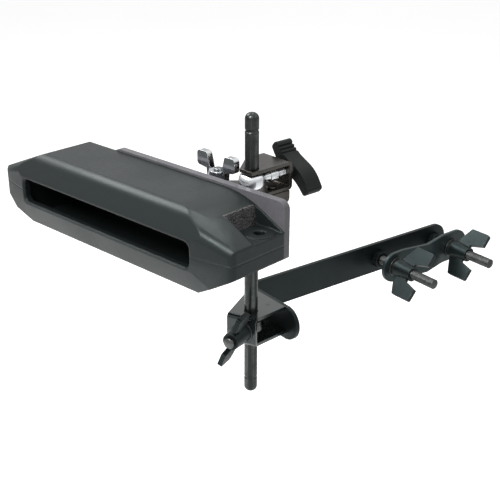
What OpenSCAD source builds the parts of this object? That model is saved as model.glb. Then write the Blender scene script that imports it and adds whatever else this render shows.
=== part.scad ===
// Slotted percussion block on an offset stand-tube clamp.
// Millimetres. The origin lies on the flat clamping face of the offset arm,
// midway between the two clamp bolts, and +Z runs up along the mounting rod.

/* [Block] */
// Length of the block from end face to end face
block_len = 240; // [200:1:290]
// Depth of the moulded shells, slot face to back face
block_depth = 54.3; // [50:0.1:60]
// Height of the closed block
block_h = 55; // [52:0.5:60]
// Length of the slope below each end face
low_slope_len = 31.5; // [30.5:0.5:35]
// Length of the slope above the right end face
right_slope_len = 35; // [32:0.5:40]
// Length of the slope above the left end face
left_slope_len = 43.5; // [32:0.5:48]
// Radius that blends the flat top into the right slope
top_blend_r = 80; // [20:5:100]
// Length of the bevel between the slot face and each end face
front_bevel_len = 30; // [28:0.25:30.5]
// Height of each end face
end_h = 19; // [16:0.5:22]
// Setback of each end face behind the slot face
end_setback = 6.5; // [3:0.5:8]
// Height of the upright face around the slot
brow_h = 21; // [20.5:0.1:23]
// Lean of the front from the upright face to the top
brow_lean = 8.2; // [5:0.1:10]
// Lean of the front from the upright face to the bottom
keel_lean = 6.6; // [5:0.1:10]
// Radius of the long front edge on top
shoulder_r = 9; // [4:0.5:11]
// Radius of the long front edge below
keel_r = 2; // [1:0.5:6]
// Radius of the end faces' front edges
end_corner_r = 5; // [2:0.5:8]
// Fall of each front corner facet along the block, per unit of length
facet_fall_share = 0.39; // [0.37:0.002:0.44]
// Fall of each front corner facet across the block, per unit of length
facet_lean_share = 0.29; // [0.2:0.002:0.34]
// Radius between each corner facet and the bevel below it
facet_r = 8; // [4:0.5:9]
// Distance from each end face to the sound slot
slot_inset = 32; // [31.5:0.5:40]
// Height of the sound slot
slot_h = 18; // [12:0.5:19]
// Corner radius of the sound slot
slot_r = 5; // [2:0.5:5.5]
// Width of the rebate around the slot
slot_rim_w = 1; // [0.3:0.1:1.2]
// Depth of the rebate around the slot
slot_rim_d = 0.8; // [0.4:0.1:1.5]
// Thickness of the front wall beside the slot
front_wall = 6; // [4:0.5:7]
// Thickness of the top, bottom and back walls
shell_wall = 6; // [5:0.5:7]
// Distance from each end face to the hollow
hollow_inset = 30; // [28:0.25:31]
// Height of the parting plane above the arm's mid-height
block_z = 79.6; // [76:0.1:90]
// Distance from the rod axis to the right end face
block_right = 42; // [36:1:50]
// Gap between the rod surface and the back rail
rail_to_rod = 4.4; // [4.3:0.1:5]

/* [End pockets and shell screws] */
// Width of each end pocket across the block
pocket_w = 28.8; // [26:0.1:31]
// Length of each end pocket from the end face
pocket_len = 23; // [22:0.1:25]
// Lean of the pocket's inner wall
pocket_lean = 3.2; // [1:0.1:5]
// Thickness of the wall between each pocket and the rail
pocket_wall = 1; // [0.6:0.1:1.5]
// Depth of the pocket floor below the end face's top edge
pocket_drop = 0.6; // [0.4:0.1:1.5]
// Radius of the raised pad around the screw
pad_r = 10.2; // [8:0.1:10.6]
// Height of the raised pad
pad_h = 0.5; // [0.2:0.1:0.6]
// Distance from the end face to the screw axis
screw_inset = 11; // [10.8:0.1:12]
// Distance from the shells' back face to the screw axis
screw_back = 11.5; // [10.8:0.1:13]
// Diameter of the screw head
screw_head_d = 6.8; // [6:0.1:7.2]
// Height of the screw head
screw_head_h = 2.4; // [2:0.1:3]
// Diameter of the screw's counterbore
screw_bore_d = 7.5; // [7.3:0.1:8.5]
// Shank diameter of the shell screw
screw_d = 4; // [3:0.1:4.5]
// Material left under the screw head
screw_seat = 3.4; // [2.5:0.1:4]
// Length of the threaded insert in the lower shell
insert_len = 5; // [4:0.1:6]
// Outer diameter of the threaded insert
insert_d = 6.4; // [5.8:0.1:7.5]
// Width of the cross recess in each screw head
recess_w = 3.4; // [2:0.1:4]

/* [Back rail] */
// Thickness of the rail on the block's back
rail_t = 5; // [4.8:0.1:6]
// Distance from the left end face to the rail
rail_inset = 57; // [40:1:70]
// Height of the rail
rail_h = 38.8; // [38:0.1:46]
// Rise of the rail's top edge above the block's top
rail_rise = 1.8; // [0:0.1:2.4]
// Radius of the rail's upper right corner
rail_corner_r = 6; // [3:0.5:9]
// Length of the slope on the rail's left end
rail_slant_len = 21; // [10:0.5:30]
// Height of the slope on the rail's left end
rail_slant_h = 9; // [4:0.5:14]
// Distance of the hanger pivot from the rod along the block
pivot_x = 34; // [34:0.5:40]
// Distance of the hanger pivot behind the rod axis
pivot_y = 2.5; // [2:0.1:4]
// Height of the lug's top above the parting plane
lug_top = 16; // [13:0.5:17]
// Thickness of the lug
lug_t = 7.5; // [6:0.5:9]
// Radius of the lug's end
lug_r = 11.5; // [10:0.5:12]
// Width of the lug at the rail
lug_w = 30; // [26:0.5:36]
// Distance of the rail screws from each end of the flat top
rail_screw_inset = 26; // [24:0.5:40]
// Distance of the rail screws above and below the parting plane
rail_screw_z = 12; // [11:0.5:13]
// Length of each rail screw's thread
rail_screw_len = 7.3; // [6.5:0.1:8]

/* [Hanger pivot] */
// Diameter of the pivot bolt
pivot_d = 6.35; // [5:0.05:7]
// Diameter of the pivot bolt's head
pivot_head_d = 14; // [11:0.5:16]
// Height of the pivot bolt's head
pivot_head_h = 3.6; // [3:0.1:5]
// Length of thread above the pivot wing nut's hub
pivot_proud = 2; // [1:0.5:4]
// Span of the pivot wing nut
pivot_wing_span = 36; // [30:0.5:36.5]
// Height of the pivot wing nut's ears
pivot_wing_h = 20.5; // [18:0.5:24]
// Height of the pivot wing nut's hub
pivot_hub_h = 9; // [8.5:0.5:11]
// Thickness of the pivot wing nut's ears
pivot_ear_t = 5; // [3:0.1:5.5]
// Diameter of the pivot wing nut's base
pivot_base_d = 16; // [14:0.5:18]

/* [Swivel plate] */
// Thickness of the swivel plate
swivel_t = 3; // [2.5:0.1:4]
// Radius of the plate around the pivot
swivel_end_r = 8; // [7:0.5:9]
// Depth of the plate's folded lip below its top
lip_h = 9; // [6:0.5:12]
// Start of the folded lip behind the rod axis
lip_front = 3; // [0:0.5:6]
// Radius of the lip's lower back corner
lip_r = 4; // [2:0.5:5]
// Overhang of the plate beyond the channel's right side
plate_over = 0.8; // [0.5:0.1:3]
// Setback of the plate's back edge from the upper web
plate_back = 3; // [0:0.5:4]
// Diameter of the rivets that hold the plate to the channel
rivet_d = 4; // [3:0.1:4.5]
// Diameter of the rivet heads
rivet_head_d = 7; // [6:0.1:7.5]
// Height of the rivet heads
rivet_head_h = 1.3; // [1:0.1:1.8]

/* [Rod clamps] */
// Sheet thickness of both channels
sheet_t = 2.5; // [2.2:0.1:2.8]
// Outside bend radius of the folded sheet
bend_r = 3.2; // [3:0.1:4]
// Height of the upper channel
upper_h = 20; // [19.5:0.5:24]
// Width of the upper channel
upper_w = 26.6; // [25:0.1:28]
// Distance from the rod axis to the upper channel's right side
upper_side = 7; // [6.8:0.1:9]
// Distance from the rod axis to the back of the upper web
upper_web = 31; // [28:0.5:34]
// Length of flange in front of the rod axis
upper_nose = 6.4; // [6.2:0.1:6.8]
// Length of the cut on the upper channel's front left corner, along the block
upper_cut_x = 14.6; // [12:0.1:16]
// Length of the cut on the upper channel's front left corner, across the block
upper_cut_y = 18.4; // [17:0.1:22]
// Angle of the upper channel about the rod
upper_yaw = -5; // [-7:0.5:0]
// Height of the eye bolt above the middle of the upper channel
bolt_lift = 1.5; // [0:0.1:2]
// Height of the lower channel
lower_h = 22; // [20:0.5:24]
// Height of the lower channel's middle above the arm's mid-height
lower_lift = 2.1; // [0:0.1:3]
// Width of the lower web
lower_w = 23; // [21:0.5:26]
// Part of the lower web on the far side of its eye bolt
lower_far = 13; // [11:0.5:15]
// Distance from the rod axis to the outside of the lower web
lower_web = 11.9; // [11.9:0.1:14]
// Angle between the lower eye bolt and the arm
lower_yaw = 25; // [15:1:30]
// Near corner of the lower flanges, measured across the arm
flange_near = 9.5; // [8:0.5:14]
// Far corner of the lower flanges, measured across the arm
flange_far = 31.3; // [28:0.1:32]
// Outer diameter of the eyes
eye_d = 17.6; // [17:0.1:17.8]
// Height of the eyes
eye_h = 10; // [9:0.5:11]
// Share of the eye's diameter that rounds its rims
eye_round_share = 0.53; // [0.51:0.01:0.56]
// Shank diameter of the upper eye bolt
upper_bolt_d = 6.35; // [5.5:0.05:7]
// Diameter of the collar on the upper eye bolt
collar_d = 9; // [7.5:0.1:10]
// Distance from the rod axis to the collar on the upper eye bolt
collar_from = 14.5; // [10:0.5:20]
// Length of the collar on the upper eye bolt
collar_len = 6.5; // [4:0.5:10]
// Distance from the rod axis to the tip of the upper eye bolt
upper_bolt_reach = 42; // [40:0.5:44]
// Shank diameter of the lower eye bolt
lower_bolt_d = 7.94; // [6.4:0.02:8]
// Distance from the rod axis to the tip of the lower eye bolt
lower_bolt_reach = 33.5; // [33:0.5:38]
// Thickness of the plain washers
washer_t = 1.5; // [1:0.1:2]
// Outer diameter of the plain washers
washer_d = 15.5; // [15:0.5:18]

/* [Mounting rod] */
// Diameter of the mounting rod
rod_d = 9.53; // [9.3:0.01:9.7]
// Length of the mounting rod
rod_len = 208.7; // [200:0.1:230]
// Length of rod below the arm's mid-height
rod_below = 51.9; // [48:0.1:60]
// Length of the smooth land at each end of the rod
rod_land = 11; // [9:0.5:14]
// Width of the groove beside each land
rod_groove_w = 2; // [1:0.1:3]
// Depth of the groove beside each land
rod_groove_d = 0.35; // [0.2:0.05:0.6]
// Rounding of the rod's ends
rod_tip_r = 4.2; // [2:0.1:4.5]

/* [T handle] */
// Overall length of the T handle
handle_len = 44; // [38:0.5:45]
// Width of the T handle along its bolt
handle_w = 13.5; // [12:0.5:15]
// Thickness of the T handle's grips
handle_t = 7.2; // [7:0.1:10]
// Sideways sweep of the T handle's grips
handle_sweep = 1.6; // [0:0.1:2.5]
// Sideways shift of the T handle's grips from its bolt
handle_shift = 0.6; // [0:0.1:1]
// Diameter of the T handle's hub
hub_d = 11.4; // [11:0.1:14]
// Length of the T handle's hub below its grips
hub_len = 2.4; // [1:0.1:4]
// Tilt of the T handle's grips from level
handle_tilt = 40; // [0:1:90]
// Number of finger grooves on one grip
groove_count = 3; // [1:1:4]
// Radius of a finger groove
groove_r = 0.8; // [0.5:0.1:1]
// Spacing of the finger grooves
groove_pitch = 2.8; // [2.5:0.1:3.2]
// Distance from the grip's tip to the first groove
groove_from = 5; // [4:0.5:6]
// Distance across the flats of the hex insert
hex_af = 8.4; // [7:0.1:9]
// Length of the hex insert
hex_len = 6; // [5:0.1:7]

/* [Offset arm] */
// Width of the steel strap
strap_w = 25.4; // [24:0.1:28]
// Thickness of the steel strap
strap_t = 3.2; // [3:0.1:3.6]
// Distance from the rod axis to the middle of the tube clamp
arm_reach = 191.3; // [170:0.1:220]
// Distance from the rod axis to the clamping face
arm_offset = 35.4; // [35:0.1:38]
// Distance from the rod axis to the folded tab
tab_x = 23.4; // [22:0.1:25]
// Length of tab past the rod axis, to its rounded end
tab_len = 22.5; // [20:0.5:28]
// Inside radius of the arm's fold
fold_r = 0.9; // [0.4:0.1:0.9]
// Angle of the arm about the rod
arm_yaw = 80; // [78:1:90]

/* [Tube clamp] */
// Spacing of the two clamp bolts
bolt_gap = 65.6; // [62:0.1:70]
// Drop of the clamp bolts below the arm's mid-height
bolt_drop = 1; // [0:0.1:2]
// Diameter of the clamp bolts
bolt_d = 7.94; // [7:0.02:8]
// Length of bolt in front of the clamping face
bolt_reach = 64; // [62:0.5:72]
// Width of the clamp bolts' heads across the flats
bolt_head_af = 12.7; // [12:0.1:14]
// Height of the clamp bolts' heads
bolt_head_h = 5; // [4:0.1:5.5]
// Height of the lock nuts on the clamping face
lock_nut_h = 5; // [4:0.1:6]
// Gap between the clamping face and the jaw at the bolts
jaw_gap = 17; // [16:0.5:22]
// Height of the jaw's bend above its ends
jaw_rise = 5; // [2:0.5:7]
// Half length of the flat pad around each bolt in the jaw
jaw_pad = 9.6; // [9.5:0.1:11]
// Length of jaw past the outer bolt's rounded end
jaw_tail = 6; // [0:0.5:8]
// Tilt of the jaw on its bolts
jaw_tilt = 1.8; // [0:0.1:1.8]
// Radial clearance around each bolt in the jaw
jaw_clear = 1.3; // [1.3:0.1:1.6]
// Outer diameter of the spring washers on the jaw
spring_d = 12.8; // [11.5:0.1:13.5]
// Thickness of the spring washers
spring_t = 2; // [1.5:0.1:2.5]
// Width of the gap in each spring washer
spring_gap = 1.2; // [0.6:0.1:2]
// Span of the black wing nuts
wing_span = 43; // [38:0.5:44]
// Length of the clamp bolts' wing nuts along the bolt
wing_h = 26; // [24:0.5:28]
// Length of the lower wing nut along its bolt
lower_wing_h = 19; // [18.5:0.5:24]
// Thickness of the wings
wing_t = 3.6; // [3:0.1:4.2]
// Diameter of the wing nuts' hubs at the seat
nut_hub_d = 15; // [14:0.5:16]
// Diameter of the wing nuts' hubs at the front
nut_front_d = 12; // [11:0.5:13]
// Length of the wing nuts' hubs
nut_hub_h = 16.5; // [15:0.5:17]
// Turn of the wings on the clamp bolts from level
clamp_wing_turn = 51; // [30:1:90]
// Turn of the wings on the lower eye bolt from level
lower_wing_turn = 68; // [30:1:90]

/* [Hidden] */
$fn = 64;
// Steps in each rounded stretch of an outline
arc_steps = 6;
// Steps along each edge of the swept handle
sweep_steps = 16;
// Radial clearance of a running fit and of a fixed fit
run = 0.07;
fit = 0.03;
// Overrun of every cut
over = 1;
// Shares of a wing nut's outline
ear_root_share = 0.4;
ear_lean_share = 0.04;
ear_heel_share = 0.3;
ear_notch_share = 0.5;
// Share of the handle's thickness left at its waist
waist_share = 1.3;
// Rod axis in the part's frame
rod_x = -arm_reach * cos(arm_yaw) + arm_offset * sin(arm_yaw);
rod_y = -arm_reach * sin(arm_yaw) - arm_offset * cos(arm_yaw);
rod_r = rod_d / 2;
rod_hole_r = rod_r + run;
// Block places, measured from the rod axis and the parting plane
rail_back = -rod_r - rail_to_rod;
block_back = rail_back - rail_t;
block_front = block_back - block_depth;
block_mid = block_right - block_len / 2;
half_h = block_h / 2;
half_len = block_len / 2;
half_flat = half_len - low_slope_len;
half_front = half_len - front_bevel_len;
slot_len = block_len - 2 * slot_inset;
hollow_len = block_len - 2 * hollow_inset;
rail_len = block_len - rail_inset;
half_end = end_h / 2;
pocket_floor = half_end - pocket_drop;
screw_x = half_len - screw_inset;
screw_y = block_back - screw_back;
head_z = screw_seat + screw_head_h;
rail_top = half_h + rail_rise;
lug_seat = block_z + lug_top;
channel_z = lug_seat + swivel_t;
upper_mid = channel_z + upper_h / 2;
nut_seat = channel_z + washer_t;
pivot_top = nut_seat + pivot_hub_h + pivot_proud;
bolt_x = bolt_gap / 2;
jaw_front = jaw_gap + strap_t;

// Points of an arc about c, from angle a0 to a1
function arc(c, r, a0, a1) =
    [for (i = [0 : arc_steps]) c + r * [cos(a0 + (a1 - a0) * i / arc_steps), sin(a0 + (a1 - a0) * i / arc_steps)]];

// Rounded corner at p, between the directions of unit vectors u and v that leave it
function corner(p, u, v, r) =
    let (half = acos(u * v) / 2, mid = (u + v) / norm(u + v), c = p + mid * r / sin(half),
        q = p + u * r / tan(half) - c, s = p + v * r / tan(half) - c,
        a0 = atan2(q.y, q.x), turn = atan2(q.x * s.y - q.y * s.x, q * s))
    arc(c, r, a0, a0 + turn);

// Point where a line from p touches the circle about c
function touch(p, c, r, side) =
    let (a = atan2(p.y - c.y, p.x - c.x) + side * acos(r / norm(p - c))) c + r * [cos(a), sin(a)];

// Direction from a to b
function dir(a, b) = (b - a) / norm(b - a);

module rod_frame() {
    translate([rod_x, rod_y, 0]) children();
}

module block_frame() {
    translate([rod_x + block_mid, rod_y, block_z]) children();
}

module upper_frame() {
    translate([rod_x, rod_y, upper_mid]) rotate([0, 0, upper_yaw]) children();
}

// The eye bolt points along +Z here, with +X sideways
module upper_bolt_frame() {
    upper_frame() translate([0, 0, bolt_lift]) rotate([-90, 0, 0]) children();
}

// The eye bolt points along +X here
module lower_frame() {
    translate([rod_x, rod_y, lower_lift]) rotate([0, 0, arm_yaw + lower_yaw + 180]) children();
}

module arm_frame() {
    rotate([0, 0, arm_yaw]) children();
}

// The pivot bolt's axis
module pivot_frame() {
    translate([rod_x - pivot_x, rod_y + pivot_y, 0]) children();
}

// One clamp bolt's axis along +Z, from the clamping face outwards
module bolt_frame(x) {
    arm_frame() translate([x, 0, -bolt_drop]) rotate([90, 0, 0]) children();
}

module hexagon(af, h) {
    cylinder(d = af / cos(30), h = h, $fn = 6);
}

module ring(outer_d, inner_r, h) {
    difference() {
        cylinder(d = outer_d, h = h);
        translate([0, 0, -over]) cylinder(r = inner_r, h = h + 2 * over);
    }
}

// Bolt shank from the origin to a rounded tip
module shank(d, reach) {
    intersection() {
        cylinder(d = d, h = reach);
        translate([0, 0, reach - d]) sphere(r = d);
    }
    cylinder(d = d, h = reach - d);
}

// Eye around the rod; its axis is Z
module eye() {
    intersection() {
        cylinder(d = eye_d, h = eye_h, center = true);
        sphere(d = 2 * eye_d * eye_round_share);
    }
}

// Outline of the block seen from the front
module face_outline() {
    edge = [half_len - right_slope_len, half_h];
    polygon(concat([[-half_len, -half_end], [-half_flat, -half_h], [half_flat, -half_h],
        [half_len, -half_end], [half_len, half_end]],
        corner(edge, dir(edge, [half_len, half_end]), [-1, 0], top_blend_r),
        [[left_slope_len - half_len, half_h], [-half_len, half_end]]));
}

// Outline of the block seen from its end: x runs across the block, y up
module end_outline(front, back, brow, high, r_top, r_low) {
    t = [front + brow_lean, high];
    b = [front + keel_lean, -high];
    up = dir([front, brow], t);
    down = dir([front, -brow], b);
    polygon(concat([[back, high]], corner(t, [1, 0], -up, r_top), [[front, brow], [front, -brow]],
        corner(b, -down, [1, 0], r_low), [[back, -high]]));
}

// Outline of the block seen from above
module plan_outline() {
    x = half_front;
    tip = [half_len, block_front + end_setback];
    bevel = dir(tip, [x, block_front]);
    right = corner(tip, bevel, [0, 1], end_corner_r);
    polygon(concat([[-half_len, block_back]], [for (i = [arc_steps : -1 : 0]) [-right[i].x, right[i].y]],
        [[-x, block_front], [x, block_front]], right, [[half_len, block_back]]));
}

// Wedge under the facet of each upper front corner: its edge runs along the bevel's top
module corner_wedge() {
    yaw = atan2(end_setback, front_bevel_len);
    fall = facet_fall_share * cos(yaw) - facet_lean_share * sin(yaw);
    rise = facet_fall_share * sin(yaw) + facet_lean_share * cos(yaw);
    lean = atan(rise * cos(atan(fall)));
    inward = [cos(lean), sin(lean)];
    edge = corner([0, 0], [0, -1], inward, facet_r);
    translate([half_len, block_front + end_setback, half_end]) rotate([0, atan(fall), yaw])
        rotate([90, 0, 90]) linear_extrude(3 * block_len, center = true)
            polygon(concat([[-block_h, -2 * block_len]], edge,
                [2 * block_depth * inward, [2 * block_depth, -2 * block_len]]));
}

module slot_shape(grow, depth) {
    r = slot_r + grow;
    w = slot_len / 2 - slot_r;
    h = slot_h / 2 - slot_r;
    rotate([90, 0, 0]) linear_extrude(depth, center = true) {
        square([slot_len + 2 * grow, 2 * h], center = true);
        square([2 * w, slot_h + 2 * grow], center = true);
        for (x = [-w, w], y = [-h, h]) translate([x, y]) circle(r);
    }
}

module block_skin() {
    intersection() {
        translate([0, block_back, 0]) rotate([90, 0, 0])
            linear_extrude(2 * block_depth, center = true) face_outline();
        rotate([90, 0, 90]) linear_extrude(block_len + over, center = true)
            end_outline(block_front, block_back, brow_h / 2, half_h, shoulder_r, keel_r);
        linear_extrude(2 * block_h, center = true) plan_outline();
        corner_wedge();
        mirror([1, 0, 0]) corner_wedge();
    }
}

module hollow() {
    intersection() {
        rotate([90, 0, 90]) linear_extrude(hollow_len, center = true)
            end_outline(block_front + front_wall, block_back - shell_wall, brow_h / 2, half_h - shell_wall,
                shell_wall, keel_r);
        translate([0, block_back, -front_wall / 2]) rotate([90, 0, 0])
            linear_extrude(2 * block_depth, center = true) face_outline();
    }
}

// Pocket in the right end's slope, with a leaning inner wall
module end_pocket() {
    x0 = half_len - pocket_len;
    translate([0, block_back - pocket_wall, 0]) rotate([90, 0, 0]) linear_extrude(pocket_w - pocket_wall)
        polygon([[x0, pocket_floor], [half_len + over, pocket_floor], [half_len + over, half_h],
            [x0 - pocket_lean, half_h]]);
}

module each_end() {
    children();
    mirror([1, 0, 0]) children();
}

module screw_places() {
    each_end() translate([screw_x, screw_y, 0]) children();
}

module rail_screw_places() {
    for (x = [half_len - rail_len + rivet_head_d, half_flat - rail_screw_inset],
        z = [rail_screw_z, (rail_top - rail_h) / 2])
        translate([x, rail_back, z]) rotate([90, 0, 0]) children();
}

module block_body() {
    difference() {
        block_skin();
        hollow();
        translate([0, block_front, 0]) slot_shape(0, 3 * front_wall);
        translate([0, block_front, 0]) slot_shape(slot_rim_w, 2 * slot_rim_d);
        each_end() difference() {
            end_pocket();
            translate([screw_x, screw_y, pocket_floor]) cylinder(r = pad_r, h = pad_h);
        }
        rail_screw_places() cylinder(d = rivet_d + 2 * fit, h = rail_t + rail_screw_len);
    }
}

// Upper half of the moulded block
module upper_shell() {
    color("dimgray") block_frame() difference() {
        intersection() {
            block_body();
            translate([-block_len, block_front - over, 0]) cube([2 * block_len, 2 * block_depth, block_h]);
        }
        screw_places() {
            translate([0, 0, -over]) cylinder(r = screw_d / 2 + fit, h = block_h);
            translate([0, 0, screw_seat]) cylinder(d = screw_bore_d, h = block_h);
        }
    }
}

// Lower half of the moulded block
module lower_shell() {
    color("dimgray") block_frame() difference() {
        intersection() {
            block_body();
            translate([-block_len, block_front - over, -block_h]) cube([2 * block_len, 2 * block_depth, block_h]);
        }
        screw_places() {
            translate([0, 0, -insert_len]) cylinder(r = insert_d / 2 + fit, h = 2 * insert_len);
            translate([0, 0, -insert_len - screw_d]) cylinder(r = screw_d / 2 + fit, h = insert_len + screw_d);
        }
    }
}

module cross_recess(w) {
    for (a = [0, 90]) rotate([0, 0, a]) cube([w, w / 4, w], center = true);
}

// Screws that close the two shells
module shell_screws() {
    color("darkslategray") block_frame() screw_places() {
        difference() {
            translate([0, 0, screw_seat]) cylinder(d = screw_head_d, h = screw_head_h);
            translate([0, 0, head_z]) cross_recess(recess_w);
        }
        translate([0, 0, -insert_len]) cylinder(d = screw_d, h = insert_len + screw_seat);
    }
}

// Threaded inserts in the lower shell
module shell_inserts() {
    color("goldenrod") block_frame() screw_places()
        translate([0, 0, -insert_len]) ring(insert_d, screw_d / 2 + fit, insert_len);
}

module rail_outline() {
    right = half_len;
    left = right - rail_len;
    low = rail_top - rail_h;
    polygon(concat([[left, low], [right, low]],
        corner([right, rail_top], [0, -1], [-1, 0], rail_corner_r),
        [[left + rail_slant_len, rail_top], [left, rail_top - rail_slant_h]]));
}

// Rail on the back of the block, with the hanger lug
module back_rail() {
    color("gray") {
        block_frame() difference() {
            translate([0, rail_back, 0]) rotate([90, 0, 0]) linear_extrude(rail_t) rail_outline();
            rail_screw_places() {
                translate([0, 0, -over]) cylinder(d = rivet_d + 2 * fit, h = rail_t + 2 * over);
                translate([0, 0, -over]) cylinder(d = rivet_head_d + 2 * fit, h = rivet_head_h + over);
            }
        }
        difference() {
            translate([0, 0, lug_seat - lug_t]) linear_extrude(lug_t) lug_outline();
            pivot_frame() cylinder(r = pivot_d / 2 + fit, h = pivot_top);
        }
    }
}

// Lug outline from above: a round end with straight flanks to the rail
module lug_outline() {
    reach = pivot_y - rail_back;
    far = lug_w / 2;
    translate([rod_x - pivot_x, rod_y + pivot_y]) {
        circle(lug_r);
        polygon([[-far, -reach], [far, -reach], touch([far, -reach], [0, 0], lug_r - run, 1),
            touch([-far, -reach], [0, 0], lug_r - run, -1)]);
    }
}

// Screws that hold the rail to both shells
module rail_screws() {
    color("darkslategray") block_frame() rail_screw_places() {
        difference() {
            cylinder(d = rivet_head_d, h = rivet_head_h);
            cross_recess(rivet_head_h);
        }
        translate([0, 0, rivet_head_h]) cylinder(d = rivet_d, h = rail_t + rail_screw_len - 2 * rivet_head_h);
    }
}

// Bolt on which the block swivels
module pivot_bolt() {
    color("silver") pivot_frame() {
        translate([0, 0, lug_seat - lug_t - pivot_head_h]) hexagon(pivot_head_d * cos(30), pivot_head_h);
        translate([0, 0, lug_seat - lug_t]) shank(pivot_d, pivot_top - lug_seat + lug_t);
    }
}

module pivot_washer() {
    color("silver") pivot_frame() translate([0, 0, channel_z]) ring(pivot_base_d, pivot_d / 2 + run, washer_t);
}

// Ears of the pivot wing nut, half outline: x away from the axis, y along it
module pivot_ear() {
    r = pivot_wing_span / 2;
    foot = pivot_base_d / 2;
    polygon(concat([[0, 0], [foot * (1 - ear_lean_share), 0], [r * ear_notch_share, pivot_hub_h]],
        corner([r, pivot_hub_h + washer_t], [-1, -ear_heel_share] / norm([1, ear_heel_share]), [0, 1],
            pivot_ear_t / 2),
        corner([r, pivot_wing_h], [0, -1], [-1, 0], pivot_ear_t / 2),
        corner([foot, pivot_wing_h], [1, 0], [-ear_lean_share, -1] / norm([ear_lean_share, 1]), pivot_ear_t / 2),
        [[foot * (1 - ear_heel_share), pivot_hub_h], [0, pivot_hub_h]]));
}

// Chrome wing nut on the pivot bolt
module pivot_wing_nut() {
    color("gainsboro") pivot_frame() translate([0, 0, nut_seat]) difference() {
        union() {
            cylinder(d = pivot_base_d, h = washer_t);
            cylinder(r1 = pivot_base_d / 2, r2 = pivot_base_d * ear_root_share, h = pivot_hub_h);
            for (a = [0, 180]) rotate([90, 0, a])
                linear_extrude(pivot_ear_t, center = true) pivot_ear();
        }
        translate([0, 0, -over]) cylinder(r = pivot_d / 2 + run, h = pivot_wing_h + 2 * over);
    }
}

// Plate between the hanger lug and the upper channel
module swivel_plate() {
    px = -pivot_x * cos(upper_yaw) + pivot_y * sin(upper_yaw);
    py = pivot_x * sin(upper_yaw) + pivot_y * cos(upper_yaw);
    right = upper_side + plate_over;
    left = upper_side - upper_w;
    back = upper_web - plate_back;
    near = [left + upper_cut_x, -upper_nose];
    z0 = -upper_h / 2 - swivel_t;
    color("dimgray") upper_frame() difference() {
        union() {
            translate([0, 0, z0]) linear_extrude(swivel_t) {
                translate([px, py]) circle(swivel_end_r);
                polygon([[px, py], touch(near, [px, py], swivel_end_r - run, -1), near, [right, -upper_nose],
                    [right, back], [left, back], touch([left, back], [px, py], swivel_end_r - run, 1)]);
            }
            translate([right - sheet_t, 0, 0]) rotate([90, 0, 90]) linear_extrude(sheet_t)
                polygon(concat([[lip_front, z0 + swivel_t]], [[lip_front, z0 + swivel_t - lip_h]],
                    corner([back, z0 + swivel_t - lip_h], [-1, 0], [0, 1], lip_r),
                    [[back, z0 + swivel_t]]));
        }
        translate([0, 0, -upper_h]) cylinder(r = rod_hole_r, h = upper_h);
        translate([px, py, -upper_h]) cylinder(r = pivot_d / 2 + run, h = upper_h);
        rivet_places() cylinder(r = rivet_d / 2 + fit, h = 3 * swivel_t, center = true);
    }
}

module rivet_places() {
    for (x = [upper_side - upper_w, upper_side - rivet_head_d])
        translate([(x + upper_side - rivet_head_d) / 2 + over, upper_web - 2 * rivet_head_d + x / 2,
            -upper_h / 2]) children();
}

// Rivets between the swivel plate and the channel
module swivel_rivets() {
    color("dimgray") upper_frame() rivet_places() {
        translate([0, 0, -swivel_t]) cylinder(d = rivet_d, h = swivel_t + sheet_t);
        translate([0, 0, sheet_t]) cylinder(d = rivet_head_d, h = rivet_head_h);
        translate([0, 0, -swivel_t - rivet_head_h]) cylinder(d = rivet_head_d, h = rivet_head_h);
    }
}

// Folded section: web at x = web, flanges towards -X, extruded along Y
module folded_section(web, h, length, width) {
    r_in = bend_r - sheet_t;
    rotate([90, 0, 0]) linear_extrude(width, center = true) difference() {
        rounded_bar(web, h, length, bend_r);
        rounded_bar(web - sheet_t, h - 2 * sheet_t, length, r_in);
    }
}

// Rectangle that ends at x = web with two round corners
module rounded_bar(web, h, length, r) {
    translate([web - length, -h / 2]) square([length - r, h]);
    translate([web - r, r - h / 2]) square([r, h - 2 * r]);
    for (y = [r - h / 2, h / 2 - r]) translate([web - r, y]) circle(r);
}

// Channel that holds the block to the rod
module upper_channel() {
    left = upper_side - upper_w;
    color("dimgray") upper_frame() difference() {
        intersection() {
            rotate([0, 0, 90]) folded_section(upper_web, upper_h, 2 * upper_web, 3 * upper_w);
            linear_extrude(2 * upper_h, center = true)
                polygon([[left, upper_web + over], [left, upper_cut_y - upper_nose], [left + upper_cut_x, -upper_nose],
                    [upper_side, -upper_nose], [upper_side, upper_web + over]]);
        }
        cylinder(r = rod_hole_r, h = 2 * upper_h, center = true);
        translate([0, 0, bolt_lift]) rotate([-90, 0, 0]) cylinder(r = upper_bolt_d / 2 + fit, h = 2 * upper_web);
        rivet_places() cylinder(r = rivet_d / 2 + fit, h = 3 * sheet_t, center = true);
    }
}

// Eye bolt of the upper clamp
module upper_eye_bolt() {
    color("gainsboro") difference() {
        union() {
            upper_frame() translate([0, 0, bolt_lift]) eye();
            upper_bolt_frame() shank(upper_bolt_d, upper_bolt_reach);
            upper_bolt_frame() translate([0, 0, collar_from]) cylinder(d = collar_d, h = collar_len);
        }
        rod_frame() translate([0, 0, channel_z]) cylinder(r = rod_hole_r, h = upper_h);
    }
}

module upper_washer() {
    color("silver") upper_bolt_frame() translate([0, 0, upper_web])
        ring(washer_d - 2 * washer_t, upper_bolt_d / 2 + run, washer_t);
}

// Sideways offset and half thickness of the handle at the share s of its half length
function sweep(s) = -handle_shift - handle_sweep * sin(180 * s);
function half_t(s) = handle_t / 2 * (waist_share + (1 - waist_share) * s * s);

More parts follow.
